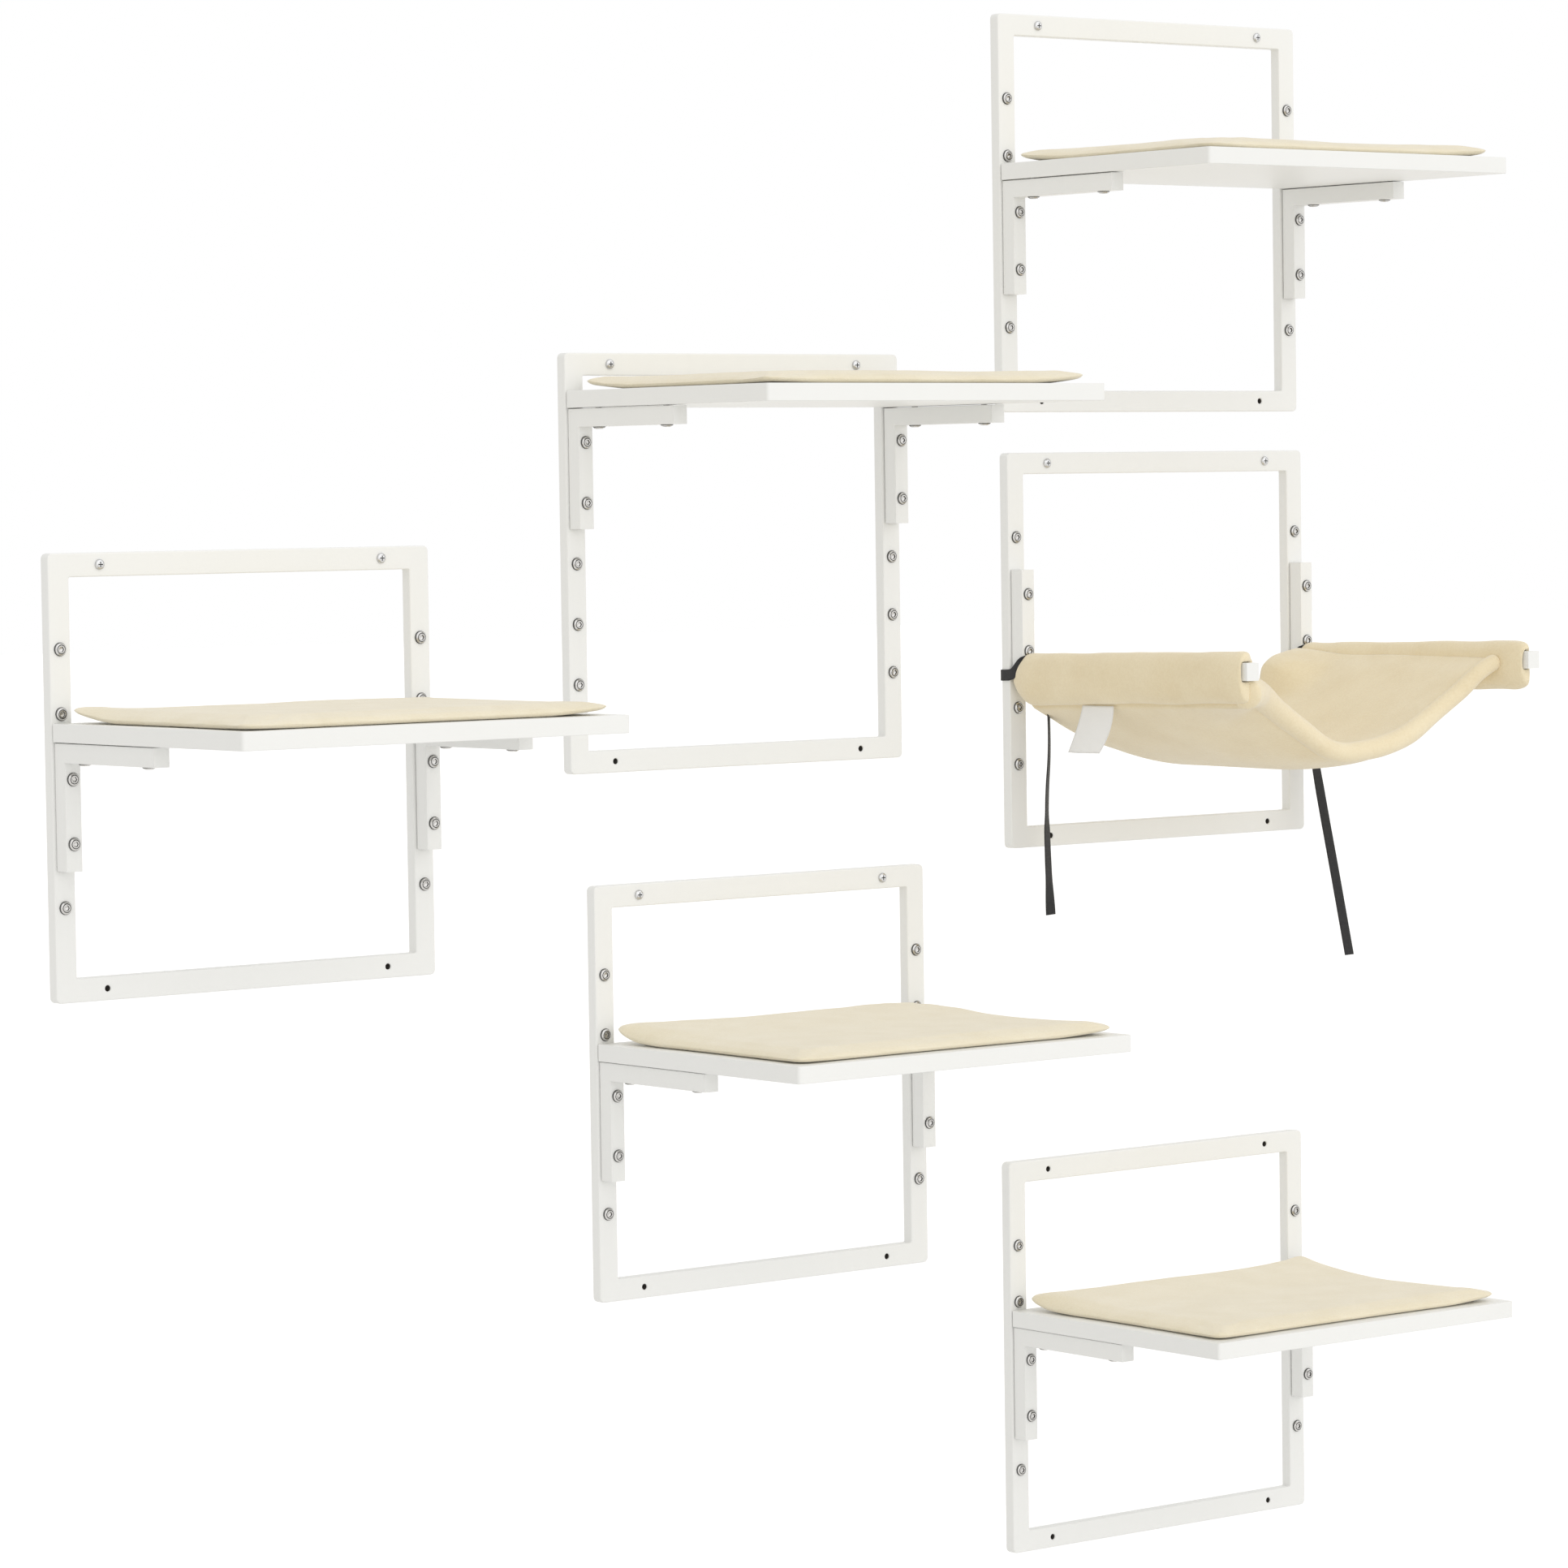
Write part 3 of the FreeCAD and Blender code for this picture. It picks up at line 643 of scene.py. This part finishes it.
def make_loop(side, finishes):
    """Webbing round the back of the upright, rising over the sleeve's nose to the leg's front."""
    x = LEFT_SLEEVE_X if side == "left" else RIGHT_SLEEVE_X
    line = [Vector((x - across, -reach, level)) for across, reach, level in LOOP_LINE]
    line += [Vector((x + across, -reach, level)) for across, reach, level in reversed(LOOP_LINE)]
    middle = Vector((x, -FRAME_THICKNESS, 0))
    rings = []
    for place, point in enumerate(line):
        along = way_at(line, place)
        out = along.cross(Vector((0, 0, 1))).normalized()
        if out.dot(point - middle) < 0:
            out.negate()
        rings.append(webbing_ring(point, out.cross(along).normalized(), out))
    make_webbing("hammock_strap_loop_" + side, rings, finishes)


# Wooden pieces

def rounded_outline(half_width, half_height, radius, steps=5):
    """Corners of an upright rectangle with rounded corners."""
    points = []
    for quarter, (across, up) in enumerate(((1, 1), (-1, 1), (-1, -1), (1, -1))):
        for step in range(steps + 1):
            turn = math.pi / 2 * (quarter + step / steps)
            points.append((across * (half_width - radius) + radius * math.cos(turn),
                           up * (half_height - radius) + radius * math.sin(turn)))
    return points


def plate(outlines, thickness, arris, matrix):
    """A flat piece cut to its outlines, the inner ones being holes, with softened arrises."""
    curve = bpy.data.curves.new("outline", "CURVE")
    curve.dimensions = "2D"
    curve.fill_mode = "BOTH"
    curve.extrude = thickness / 2 - arris
    curve.bevel_depth = arris
    curve.bevel_resolution = 2
    curve.offset = -arris
    for outline in outlines:
        spline = curve.splines.new("POLY")
        spline.points.add(len(outline) - 1)
        for point, (x, y) in zip(spline.points, outline):
            point.co = (x, y, 0, 1)
        spline.use_cyclic_u = True
    mesh = mesh_of(curve)
    shape = bmesh.new()
    shape.from_mesh(mesh)
    bpy.data.meshes.remove(mesh)
    bmesh.ops.remove_doubles(shape, verts=shape.verts, dist=WELD)
    bmesh.ops.transform(shape, matrix=matrix, verts=shape.verts)
    return shape


def standing(x, y, z):
    """Matrix that stands a flat outline up against the wall, its middle at x, y, z."""
    return Matrix.Translation((x, y, z)) @ Matrix.Rotation(math.pi / 2, 4, "X")


def sideways(x, y, z):
    """Matrix that turns a flat outline edge-on to the wall: its x runs out into the room, its y up."""
    turn = Matrix(((0, 0, 1, 0), (-1, 0, 0, 0), (0, 1, 0, 0), (0, 0, 0, 1)))
    return Matrix.Translation((x, y, z)) @ turn


def make_wooden(node, shape, looks):
    """A painted piece with evenly shaded flats, so that only its arrises turn the light."""
    piece = make_piece(node, "_white", shape, looks, WOOD_CREASE)
    weigh = piece.modifiers.new("even_flats", "WEIGHTED_NORMAL")
    weigh.keep_sharp = True
    weigh.weight = 100


def middle_of(module):
    """Middle of a module's frame along and up the wall."""
    low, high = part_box(module + "_frame")
    return (low.x + high.x) / 2, (low.z + high.z) / 2


def make_frame(module, finishes):
    """The frame in one seamless piece, with its bolt and wall holes."""
    x, z = middle_of(module)
    rail = FRAME_HALF_HEIGHT - MEMBER_WIDTH / 2
    holes = [(side * WALL_HOLE_ACROSS, level * rail, WALL_HOLE_RADIUS)
             for side in (-1, 1) for level in (-1, 1)]
    holes += [(side * LEG_ACROSS, row, BOLT_HOLE_RADIUS) for side in (-1, 1) for row in BOLT_ROWS]
    outlines = [rounded_outline(FRAME_HALF_WIDTH, FRAME_HALF_HEIGHT, FRAME_CORNER_RADIUS),
                rounded_outline(FRAME_HALF_WIDTH - MEMBER_WIDTH, FRAME_HALF_HEIGHT - MEMBER_WIDTH,
                                INNER_CORNER_RADIUS, 3)]
    for across, up, radius in holes:
        outlines.append(ring_of(lambda turn: (across + radius * math.cos(turn),
                                              up + radius * math.sin(turn)), 24))
    shape = plate(outlines, FRAME_THICKNESS, FRAME_ARRIS, standing(x, -FRAME_THICKNESS / 2, z))
    # Faces inside the holes take the near-black painted shade of the holes
    for face in shape.faces:
        middle = face.calc_center_median()
        if any(math.hypot(middle.x - x - across, middle.z - z - up) < radius
               for across, up, radius in holes):
            face.material_index = 1
    make_wooden(module + "_frame", shape, [finishes["paint"], finishes["hole_shade"]])


def make_bracket(module, side, finishes):
    """Leg and arm in one seamless angle: the arm at the top under a board, else at the bottom."""
    node = module + "_bracket_" + side
    low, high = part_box(node)
    back, tip = CONTACT_GAP, high.y - low.y
    bottom, top = low.z, high.z
    if module == "hammock":
        inner = bottom + BRACKET_DEPTH
        outline = [(back, bottom), (tip, bottom), (tip, inner), (BRACKET_DEPTH, inner),
                   (BRACKET_DEPTH, top), (back, top)]
    else:
        top -= CONTACT_GAP
        inner = top - BRACKET_DEPTH
        outline = [(back, bottom), (BRACKET_DEPTH, bottom), (BRACKET_DEPTH, inner), (tip, inner),
                   (tip, top), (back, top)]
    matrix = sideways((low.x + high.x) / 2, high.y, 0)
    make_wooden(node, plate([outline], BRACKET_WIDTH, BRACKET_ARRIS, matrix), [finishes["paint"]])


def make_board(module, finishes):
    node = module + "_board"
    low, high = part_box(node)
    high.y -= CONTACT_GAP
    outline = rounded_outline((high.x - low.x) / 2, (high.y - low.y) / 2, BOARD_CORNER_RADIUS)
    matrix = Matrix.Translation((low + high) / 2)
    make_wooden(node, plate([outline], BOARD_THICKNESS, BOARD_ARRIS, matrix), [finishes["paint"]])


# Fasteners

def recess_reach(turn, kind):
    """Reach of a hex or cross recess at a turn, on a scale of one."""
    if kind == "hex":
        sector = math.pi / 3
        return math.cos(sector / 2) / math.cos((turn % sector) - sector / 2)
    arm = math.pi / 4
    away = abs((turn + arm) % (2 * arm) - arm)
    return 1.0 if away < 0.3 else 0.34


def turned(shape, seat, into, shank, head):
    """A fastener turned round the line into its hole: the shank, then the head's bands."""
    reference = Vector((0, 0, 1)) if abs(into.y) > 0.5 else Vector((0, 1, 0))
    across = into.cross(reference).normalized()
    up = into.cross(across).normalized()
    for place, band in enumerate(head):
        profile = (*shank, *band) if place == 0 else band
        rings = []
        for radius, height, kind in profile:
            ring = []
            for step in range(HEAD_SIDES):
                turn = 2 * math.pi * step / HEAD_SIDES
                reach = radius * (recess_reach(turn, kind) if kind else 1.0)
                ring.append(seat - into * height + across * (reach * math.cos(turn))
                            + up * (reach * math.sin(turn)))
            rings.append(ring)
        # Every other band takes the painted shade material: dark rings on the head and the walls of
        # its recess
        skin(shape, rings, place == 0, place == len(head) - 1, place % 2)


def add_bolt(shape, seat, into, length):
    """Button head bolt with a hexagon socket."""
    radius = BOLT_SHANK_RADIUS
    shank = ((radius * 0.85, -length, None), (radius, -length + 0.0006, None), (radius, 0, None))
    turned(shape, seat, into, shank, BOLT_HEAD)


def add_screw(shape, seat, into):
    """Pan head screw with a cross recess."""
    radius = SCREW_SHANK_RADIUS
    shank = ((0.0003, -SCREW_LENGTH, None), (radius, -SCREW_LENGTH + 0.006, None), (radius, 0, None))
    turned(shape, seat, into, shank, SCREW_HEAD)


def make_fasteners(node, seats, add, look, finishes):
    """All fasteners of one kind in a module, as one piece."""
    shape = bmesh.new()
    for seat in seats:
        add(shape, *seat)
    bmesh.ops.remove_doubles(shape, verts=shape.verts, dist=WELD)
    # The second material is the painted shade of the heads' dark bands
    make_piece(node, "_bright", shape, [finishes[look], finishes["head_shade"]], STEEL_CREASE)


def make_bolts(module, finishes):
    """Bracket bolts, spare bolts and wall screws of a module."""
    x, z = middle_of(module)
    into = Vector((0, 1, 0))
    low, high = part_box(module + "_bracket_bolts")
    bolts = []
    spares = []
    for side in (-1, 1):
        for row in BOLT_ROWS:
            on_bracket = low.z < z + row < high.z
            depth = FRAME_THICKNESS + BRACKET_DEPTH if on_bracket else FRAME_THICKNESS
            seat = Vector((x + side * LEG_ACROSS, -depth, z + row))
            (bolts if on_bracket else spares).append((seat, into, depth - BOLT_TIP_MARGIN))
    make_fasteners(module + "_bracket_bolts", bolts, add_bolt, "nickel", finishes)
    make_fasteners(module + "_spare_bolts", spares, add_bolt, "nickel", finishes)
    if module + "_wall_screws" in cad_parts:
        height = z + FRAME_HALF_HEIGHT - MEMBER_WIDTH / 2
        screws = [(Vector((x + side * WALL_HOLE_ACROSS, -FRAME_THICKNESS, height)), into)
                  for side in (-1, 1)]
        make_fasteners(module + "_wall_screws", screws, add_screw, "zinc", finishes)


def make_board_bolts(module, finishes):
    """Bolts up through a shelf's arms into its board."""
    x = middle_of(module)[0]
    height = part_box(module + "_bracket_left")[1].z - BRACKET_DEPTH
    bolts = [(Vector((x + side * LEG_ACROSS, -reach, height)), Vector((0, 0, 1)), BOARD_BOLT_LENGTH)
             for side in (-1, 1) for reach in BOARD_BOLT_REACHES]
    make_fasteners(module + "_board_bolts", bolts, add_bolt, "nickel", finishes)


# Soft pieces

def make_padded(node, shape, look, most, body=BODY, held=None):
    """A plush piece, filled out by simulation and smoothed."""
    piece = make_piece(node, "_plush", shape, [look], body=body)
    fill_out(piece, most, held)
    soft = piece.modifiers.new("soft", "SUBSURF")
    soft.levels = 1
    soft.render_levels = 1


def fill_out(piece, most, held):
    """Let the filling press the cloth out by simulation, no point by more than most.

    held lists the points that stay where they are, such as a cushion's underside, or is None.
    """
    before = [vertex.co.copy() for vertex in piece.data.vertices]
    cloth = piece.modifiers.new("filling", "CLOTH")
    settings = cloth.settings
    settings.quality = 5
    settings.mass = 0.3
    settings.tension_stiffness = 15
    settings.compression_stiffness = 15
    settings.shear_stiffness = 5
    settings.bending_stiffness = 0.5
    settings.use_pressure = True
    settings.uniform_pressure_force = FILLING_PRESSURE
    settings.effector_weights.gravity = 0
    cloth.collision_settings.use_collision = False
    if held:
        piece.vertex_groups.new(name="held").add(held, 1.0, "REPLACE")
        settings.vertex_group_mass = "held"
    scene = bpy.context.scene
    for moment in range(1, FILLING_STEPS + 1):
        scene.frame_set(moment)
    shaped = piece.evaluated_get(bpy.context.evaluated_depsgraph_get()).data
    for vertex, start in zip(shaped.vertices, before):
        step = vertex.co - start
        if step.length > most:
            step *= most / step.length
        piece.data.vertices[vertex.index].co = start + step
    piece.modifiers.remove(cloth)
    scene.frame_set(1)


# Cushions

def crowded(step, count):
    """From -1 to 1 over the steps, closer together towards both ends."""
    even = 2 * step / count - 1
    return 0.35 * even + 0.65 * math.sin(math.pi / 2 * even)


def cushion_place(across, along, half_x, half_y):
    """Place in a cushion's outline with its round corners, and how far it is from the edge."""
    x = abs(across) * half_x
    y = abs(along) * half_y
    inset_x = max(x - half_x + CUSHION_CORNER, 0) / CUSHION_CORNER
    inset_y = max(y - half_y + CUSHION_CORNER, 0) / CUSHION_CORNER
    edge = min(half_x - x, half_y - y)
    if inset_x > 0 and inset_y > 0:
        round_x = inset_x * math.sqrt(1 - inset_y ** 2 / 2)
        round_y = inset_y * math.sqrt(1 - inset_x ** 2 / 2)
        x = half_x - CUSHION_CORNER * (1 - round_x)
        y = half_y - CUSHION_CORNER * (1 - round_y)
        edge = CUSHION_CORNER * (1 - math.hypot(round_x, round_y))
    x -= CUSHION_SIDE_DRAW * (1 - along ** 2) * abs(across) ** 3
    y -= CUSHION_SIDE_DRAW * (1 - across ** 2) * abs(along) ** 3
    return math.copysign(x, across), math.copysign(y, along), max(edge, 0)


def cushion_surface(across, along, size, lifts, seed):
    """Place, seam, underside and top of a cushion, across and along it from -1 to 1."""
    x, y, edge = cushion_place(across, along, *size)
    *corner_lifts, edge_lift = lifts
    corner = 0.0
    tip = 0.0
    for (side, end), lift in zip(((-1, 1), (1, 1), (-1, -1), (1, -1)), corner_lifts):
        away = math.hypot(x - side * size[0], y - end * size[1])
        corner += lift * max(0, 1 - away / CORNER_SPREAD) ** 1.6
        tip = max(tip, 1 - away / TIP_REACH)
    back = max(0, size[1] - y)
    under_lift = corner + edge_lift * max(0, 1 - back / UNDERSIDE_SPREAD) ** 1.5
    top_lift = corner + edge_lift * max(0, 1 - back / TOP_SPREAD) ** 1.2
    full = swell(edge, CUSHION_SHOULDER) * (1 - (TIP_SLACK - TIP_SLACK_LOST * edge_lift) * tip)
    wave = uneven(0.0011, x * 9, y * 9, seed)
    pucker = uneven(0.0009, x * 55, y * 55, seed + 7) * (1 - full * 0.75)
    seam = CUSHION_SEAM + pucker * 0.8 + under_lift
    under = under_lift + CUSHION_SEAM * (1 - swell(edge, CUSHION_UNDERCUT))
    top = seam + (top_lift - under_lift + CUSHION_HEIGHT - CUSHION_SEAM + wave + pucker) * full
    return x, y, seam, under, top


def make_cushion(module, finishes):
    """Filled pad: a flat underside on the board, round sides that meet in a seam, a full top."""
    node = module + "_cushion"
    low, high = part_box(node)
    middle = (low + high) / 2
    size = ((high.x - low.x) / 2, (high.y - low.y) / 2)
    seed = SHELVES.index(module) * 3.7
    lifts = CUSHION_LIFTS[module]
    columns, rows = CUSHION_SPLITS
    shape = bmesh.new()
    crease = shape.edges.layers.float.new("crease_edge")
    under_grid = []
    top_grid = []
    held = []
    for column in range(columns + 1):
        across = crowded(column, columns)
        under_line = []
        top_line = []
        for row in range(rows + 1):
            x, y, seam, under, top = cushion_surface(across, crowded(row, rows), size, lifts, seed)
            on_edge = column in (0, columns) or row in (0, rows)
            place = (middle.x + x, middle.y + y)
            held.append(len(shape.verts))
            under_line.append(shape.verts.new((*place, low.z + (seam if on_edge else under))))
            if on_edge:
                top_line.append(under_line[-1])
            else:
                top_line.append(shape.verts.new((*place, low.z + top)))
        under_grid.append(under_line)
        top_grid.append(top_line)
    cover(shape, under_grid)
    cover(shape, top_grid)
    seam_line = set(top_grid[0] + top_grid[-1] + [line[end] for line in top_grid for end in (0, -1)])
    for edge in shape.edges:
        if edge.verts[0] in seam_line and edge.verts[1] in seam_line:
            edge[crease] = 0.7
    make_padded(node, shape, finishes["cushion"], most=0.0018,
                body=node + "_body", held=held)


# Hammock

def along_sleeve(heights, reach):
    """Height at a reach, from the heights at the wall and at the room end of a sleeve."""
    return heights[0] + (heights[1] - heights[0]) * reach / SLEEVE_ROOM_END


def sleeve_ring(x, reach, full, seed, thinner=0.0, slant=0.0, count=36):
    """Outline of a sleeve: round over the arm, drawn in a little towards the seam below.

    full is 0 at the nose's tip and 1 where the sleeve has its whole height. A thinner ring lies
    inside the cloth, and slant takes its right side back.
    """
    top = along_sleeve(SLEEVE_TOPS, reach) + uneven(0.0008, reach * 30, seed, 5)
    seam = along_sleeve(SLEEVE_SEAMS, reach) + uneven(0.0022, reach * 22, seed, 0)
    middle = (top + seam) / 2
    half = (top - seam) / 2 * full - thinner
    wide = SLEEVE_HALF_WIDTH * (0.6 + 0.4 * full) - thinner + uneven(0.0007, reach * 26, seed, 9)

    def corner(turn):
        up = math.sin(turn)
        pinch = 1 - 0.2 * max(0, -up) ** 3
        across = stretched(math.cos(turn), 0.75)
        return Vector((x + wide * pinch * across, slant * max(0, across) - reach,
                       middle + half * stretched(up, 0.88)))
    return ring_of(corner, count)


def slot_ring(x, reach, margin, slant, count=36):
    """Outline of the slot that lets the arm out of a sleeve's end."""
    def corner(turn):
        across = stretched(math.cos(turn), 0.4)
        return Vector((x + (ARM_HALF_WIDTH + margin) * across, slant * max(0, across) * 0.6 - reach,
                       ARM_MIDDLE + (ARM_HALF_HEIGHT + margin) * stretched(math.sin(turn), 0.4)))
    return ring_of(corner, count)


def make_sleeve(side, finishes):
    """Padded pocket on an arm: a round nose at the wall, an end sewn round the arm at the room."""
    x, seed = (LEFT_SLEEVE_X, 1.5) if side == "left" else (RIGHT_SLEEVE_X, 6.5)
    closing, narrow, slant = SLEEVE_ENDS[side]
    start = SLEEVE_WALL_END + SLEEVE_NOSE
    end = SLEEVE_ROOM_END - closing
    nose_rings, long_rings, end_rings = SLEEVE_RINGS
    rings = []
    for step in range(1, nose_rings + 1):
        turn = math.pi / 2 * step / nose_rings
        reach = SLEEVE_WALL_END + SLEEVE_NOSE * (1 - math.cos(turn))
        rings.append(sleeve_ring(x, reach, math.sin(turn), seed))
    for step in range(1, long_rings + 1):
        rings.append(sleeve_ring(x, start + (end - start) * step / long_rings, 1, seed))
    for step in range(1, end_rings + 1):
        turn = math.pi / 2 * step / end_rings
        full = narrow + (1 - narrow) * math.cos(turn)
        rings.append(sleeve_ring(x, end + closing * math.sin(turn), full, seed,
                                 slant=slant * (step / end_rings) ** 0.6))
    rings.append(sleeve_ring(x, SLEEVE_ROOM_END + 0.0008, narrow, seed, 0.0012, slant))
    for margin, depth in SLOT_RINGS:
        rings.append(slot_ring(x, SLEEVE_ROOM_END - depth, margin, slant))
    shape = bmesh.new()
    skin(shape, rings)
    make_padded("hammock_sleeve_" + side, shape, finishes["hammock"],
                most=0.0012)


def section_point(edge, bottom, roundness, across):
    """Place on a sling section, across from -1 to 1: an arc, then a straight flank up to the edge."""
    edge_x, edge_z = edge
    rise = edge_z - bottom
    radius = roundness * (edge_x ** 2 + rise ** 2) / (2 * rise)
    centre = bottom + radius
    far = math.hypot(edge_x, edge_z - centre)
    last = math.atan2(edge_z - centre, edge_x) - math.acos(radius / far)
    arc = radius * (last + math.pi / 2)
    flank = math.sqrt(far ** 2 - radius ** 2)
    way = abs(across) * (arc + flank)
    turn = min(way / radius - math.pi / 2, last)
    past = max(way - arc, 0)
    x = radius * math.cos(turn) - past * math.sin(turn)
    z = centre + radius * math.sin(turn) + past * math.cos(turn)
    return Vector((math.copysign(x, across), 0, z))


def at_reach(sections, reach):
    """Lowest height and roundness of a sling face at a reach."""
    first = eased(SLING_REACHES[0], SLING_REACHES[1], reach)
    second = eased(SLING_REACHES[1], SLING_REACHES[2], reach)
    return [a + (b - a) * first + (c - b) * second for a, b, c in zip(*sections)]


def flank_roll(distance):
    """How proud the padded flank stands at a distance from the sling's middle, at the wall."""
    for (start, first), (end, last) in zip(FLANK_ROLL, FLANK_ROLL[1:]):
        if start <= distance <= end:
            return first + (last - first) * (distance - start) / (end - start)
    return 0 if distance < FLANK_ROLL[0][0] else FLANK_ROLL[-1][1]


def hem_place(across):
    """Point on the hem's middle line, the way it runs and its radius, across from -1 to 1."""
    last = len(HEM_LINE) - 1
    place = (across + 1) / 2 * last
    knot = min(int(place), last - 1)
    share = place - knot
    points = [Vector((x, -reach, z)) for x, reach, z, radius in HEM_LINE]
    before, start, end, after = (points[min(max(knot + step, 0), last)] for step in (-1, 0, 1, 2))
    leave = (end - before) / 2
    arrive = (after - start) / 2
    curve = (2 * start - 2 * end + leave + arrive, -3 * start + 3 * end - 2 * leave - arrive)
    point = curve[0] * share ** 3 + curve[1] * share ** 2 + leave * share + start
    along = curve[0] * (3 * share ** 2) + curve[1] * (2 * share) + leave
    ease = eased(0, 1, share)
    radius = HEM_LINE[knot][3] * (1 - ease) + HEM_LINE[knot + 1][3] * ease
    return point, along.normalized(), radius


def sling_point(across, reach, outside):
    """A point of the sling's outside or inside face, turning into the hem's line at the front."""
    edge = (OUTSIDE_EDGE_X, along_sleeve(SLEEVE_SEAMS, reach) + 0.0005) if outside else INSIDE_EDGE
    bottom, roundness = at_reach(SLING_OUTSIDE if outside else SLING_INSIDE, reach)
    body = section_point(edge, bottom, roundness, across)
    body.y = -reach
    if not outside:
        roll = flank_roll(abs(body.x)) * (1 - eased(*FLANK_ROLL_REACHES, reach))
        body += Vector((math.copysign(0.63, -body.x), 0, 0.78)) * roll
        body.z += uneven(0.0016, body.x * 16, reach * 14, 3)
    point, along, radius = hem_place(across)
    down = along.cross(Vector((0, -1, 0))).normalized()
    front = point + down * (radius - 0.0017 if outside else -0.45 * radius)
    return body.lerp(front, eased(SLING_HEM_START, SLING_FRONT, reach)) + Vector((HAMMOCK_X, 0, 0))


def make_sling(finishes):
    """The sling between the sleeves, padded, with a rounded wall edge; its front is in the hem."""
    wall, first = SLING_REACHES[0], 0.030
    step_long = (SLING_FRONT - wall - first) / SLING_ROWS
    rings = []
    for way in [*SLING_WALL_ROWS, *(first + step_long * step for step in range(SLING_ROWS + 1))]:
        outside = []
        inside = []
        for step in range(SLING_COLUMNS + 1):
            across = 2 * step / SLING_COLUMNS - 1
            low = sling_point(across, wall + way, True)
            high = sling_point(across, wall + way, False)
            middle = (low + high) / 2
            half = (high - low) / 2
            full = max(swell(way, min(half.length, 0.013)), 0.06)
            outside.append(middle - half * full)
            inside.append(middle + half * full)
        rings.append(outside + inside[::-1])
    shape = bmesh.new()
    rows = skin(shape, rings, False, False)
    for row in (rows[0], rows[-1]):
        for step in range(SLING_COLUMNS):
            shape.faces.new((row[step], row[step + 1], row[-2 - step], row[-1 - step]))
    make_padded("hammock_sling", shape, finishes["hammock"], most=0.0015)


def make_hem(finishes):
    """Thick rolled hem along the sling's front edge, its ends drawn forward along the sleeves."""
    rings = []
    for step in range(HEM_RINGS + 1):
        across = 2 * step / HEM_RINGS - 1
        across = across * (1 + 0.16 * (1 - across ** 2))
        point, along, radius = hem_place(across)
        up = along.cross(Vector((0, 1, 0))).normalized()
        side = up.cross(along).normalized()
        radius *= max(swell((1 - abs(across)) * HEM_LENGTH / 2, HEM_END), 0.12)
        radius *= 1 + uneven(0.035, across * 6, 2, 8)
        middle = point + Vector((HAMMOCK_X, 0, 0))
        rings.append(ring_of(lambda turn: middle + (side * math.cos(turn) + up * math.sin(turn))
                             * radius, 28))
    shape = bmesh.new()
    skin(shape, rings)
    make_padded("hammock_front_hem", shape, finishes["hammock"],
                most=0.0010)


def make_label(finishes):
    """Blank white label, bowed, hanging from the left sleeve's seam."""
    columns, rows = 16, 18
    shape = bmesh.new()
    grid = []
    for column in range(columns + 1):
        share = column / columns
        line = []
        for row in range(rows + 1):
            drop = row / rows
            bow = 0.0045 * math.sin(math.pi * share) * drop
            x = LEFT_SLEEVE_X - 0.005 * drop ** 1.5 - bow
            reach = LABEL_REACH + LABEL_WIDTH * share - 0.016 * drop ** (1.2 + 1.0 * share)
            line.append(shape.verts.new((x, -reach, LABEL_TOP - LABEL_DROP * drop)))
        grid.append(line)
    cover(shape, grid)
    piece = make_piece("hammock_care_label", "_cloth", shape, [finishes["label"]])
    piece.modifiers.new("thickness", "SOLIDIFY").thickness = LABEL_THICKNESS


# The whole wall

bpy.context.scene.view_settings.view_transform = "Standard"
finishes = make_finishes()
make_camera()
hanging_strap("left", LEFT_TAIL_ROUTE, LEFT_TAIL_TWISTS, finishes)
hanging_strap("right", RIGHT_TAIL_ROUTE, RIGHT_TAIL_TWISTS, finishes)
make_light()
make_floor(finishes)
for module in (*SHELVES, "hammock"):
    make_frame(module, finishes)
    make_bracket(module, "left", finishes)
    make_bracket(module, "right", finishes)
    make_bolts(module, finishes)
for module in SHELVES:
    make_board(module, finishes)
    make_board_bolts(module, finishes)
    make_cushion(module, finishes)
for side in ("left", "right"):
    make_sleeve(side, finishes)
    make_loop(side, finishes)
make_sling(finishes)
make_hem(finishes)
make_label(finishes)

bpy.context.view_layer.update()
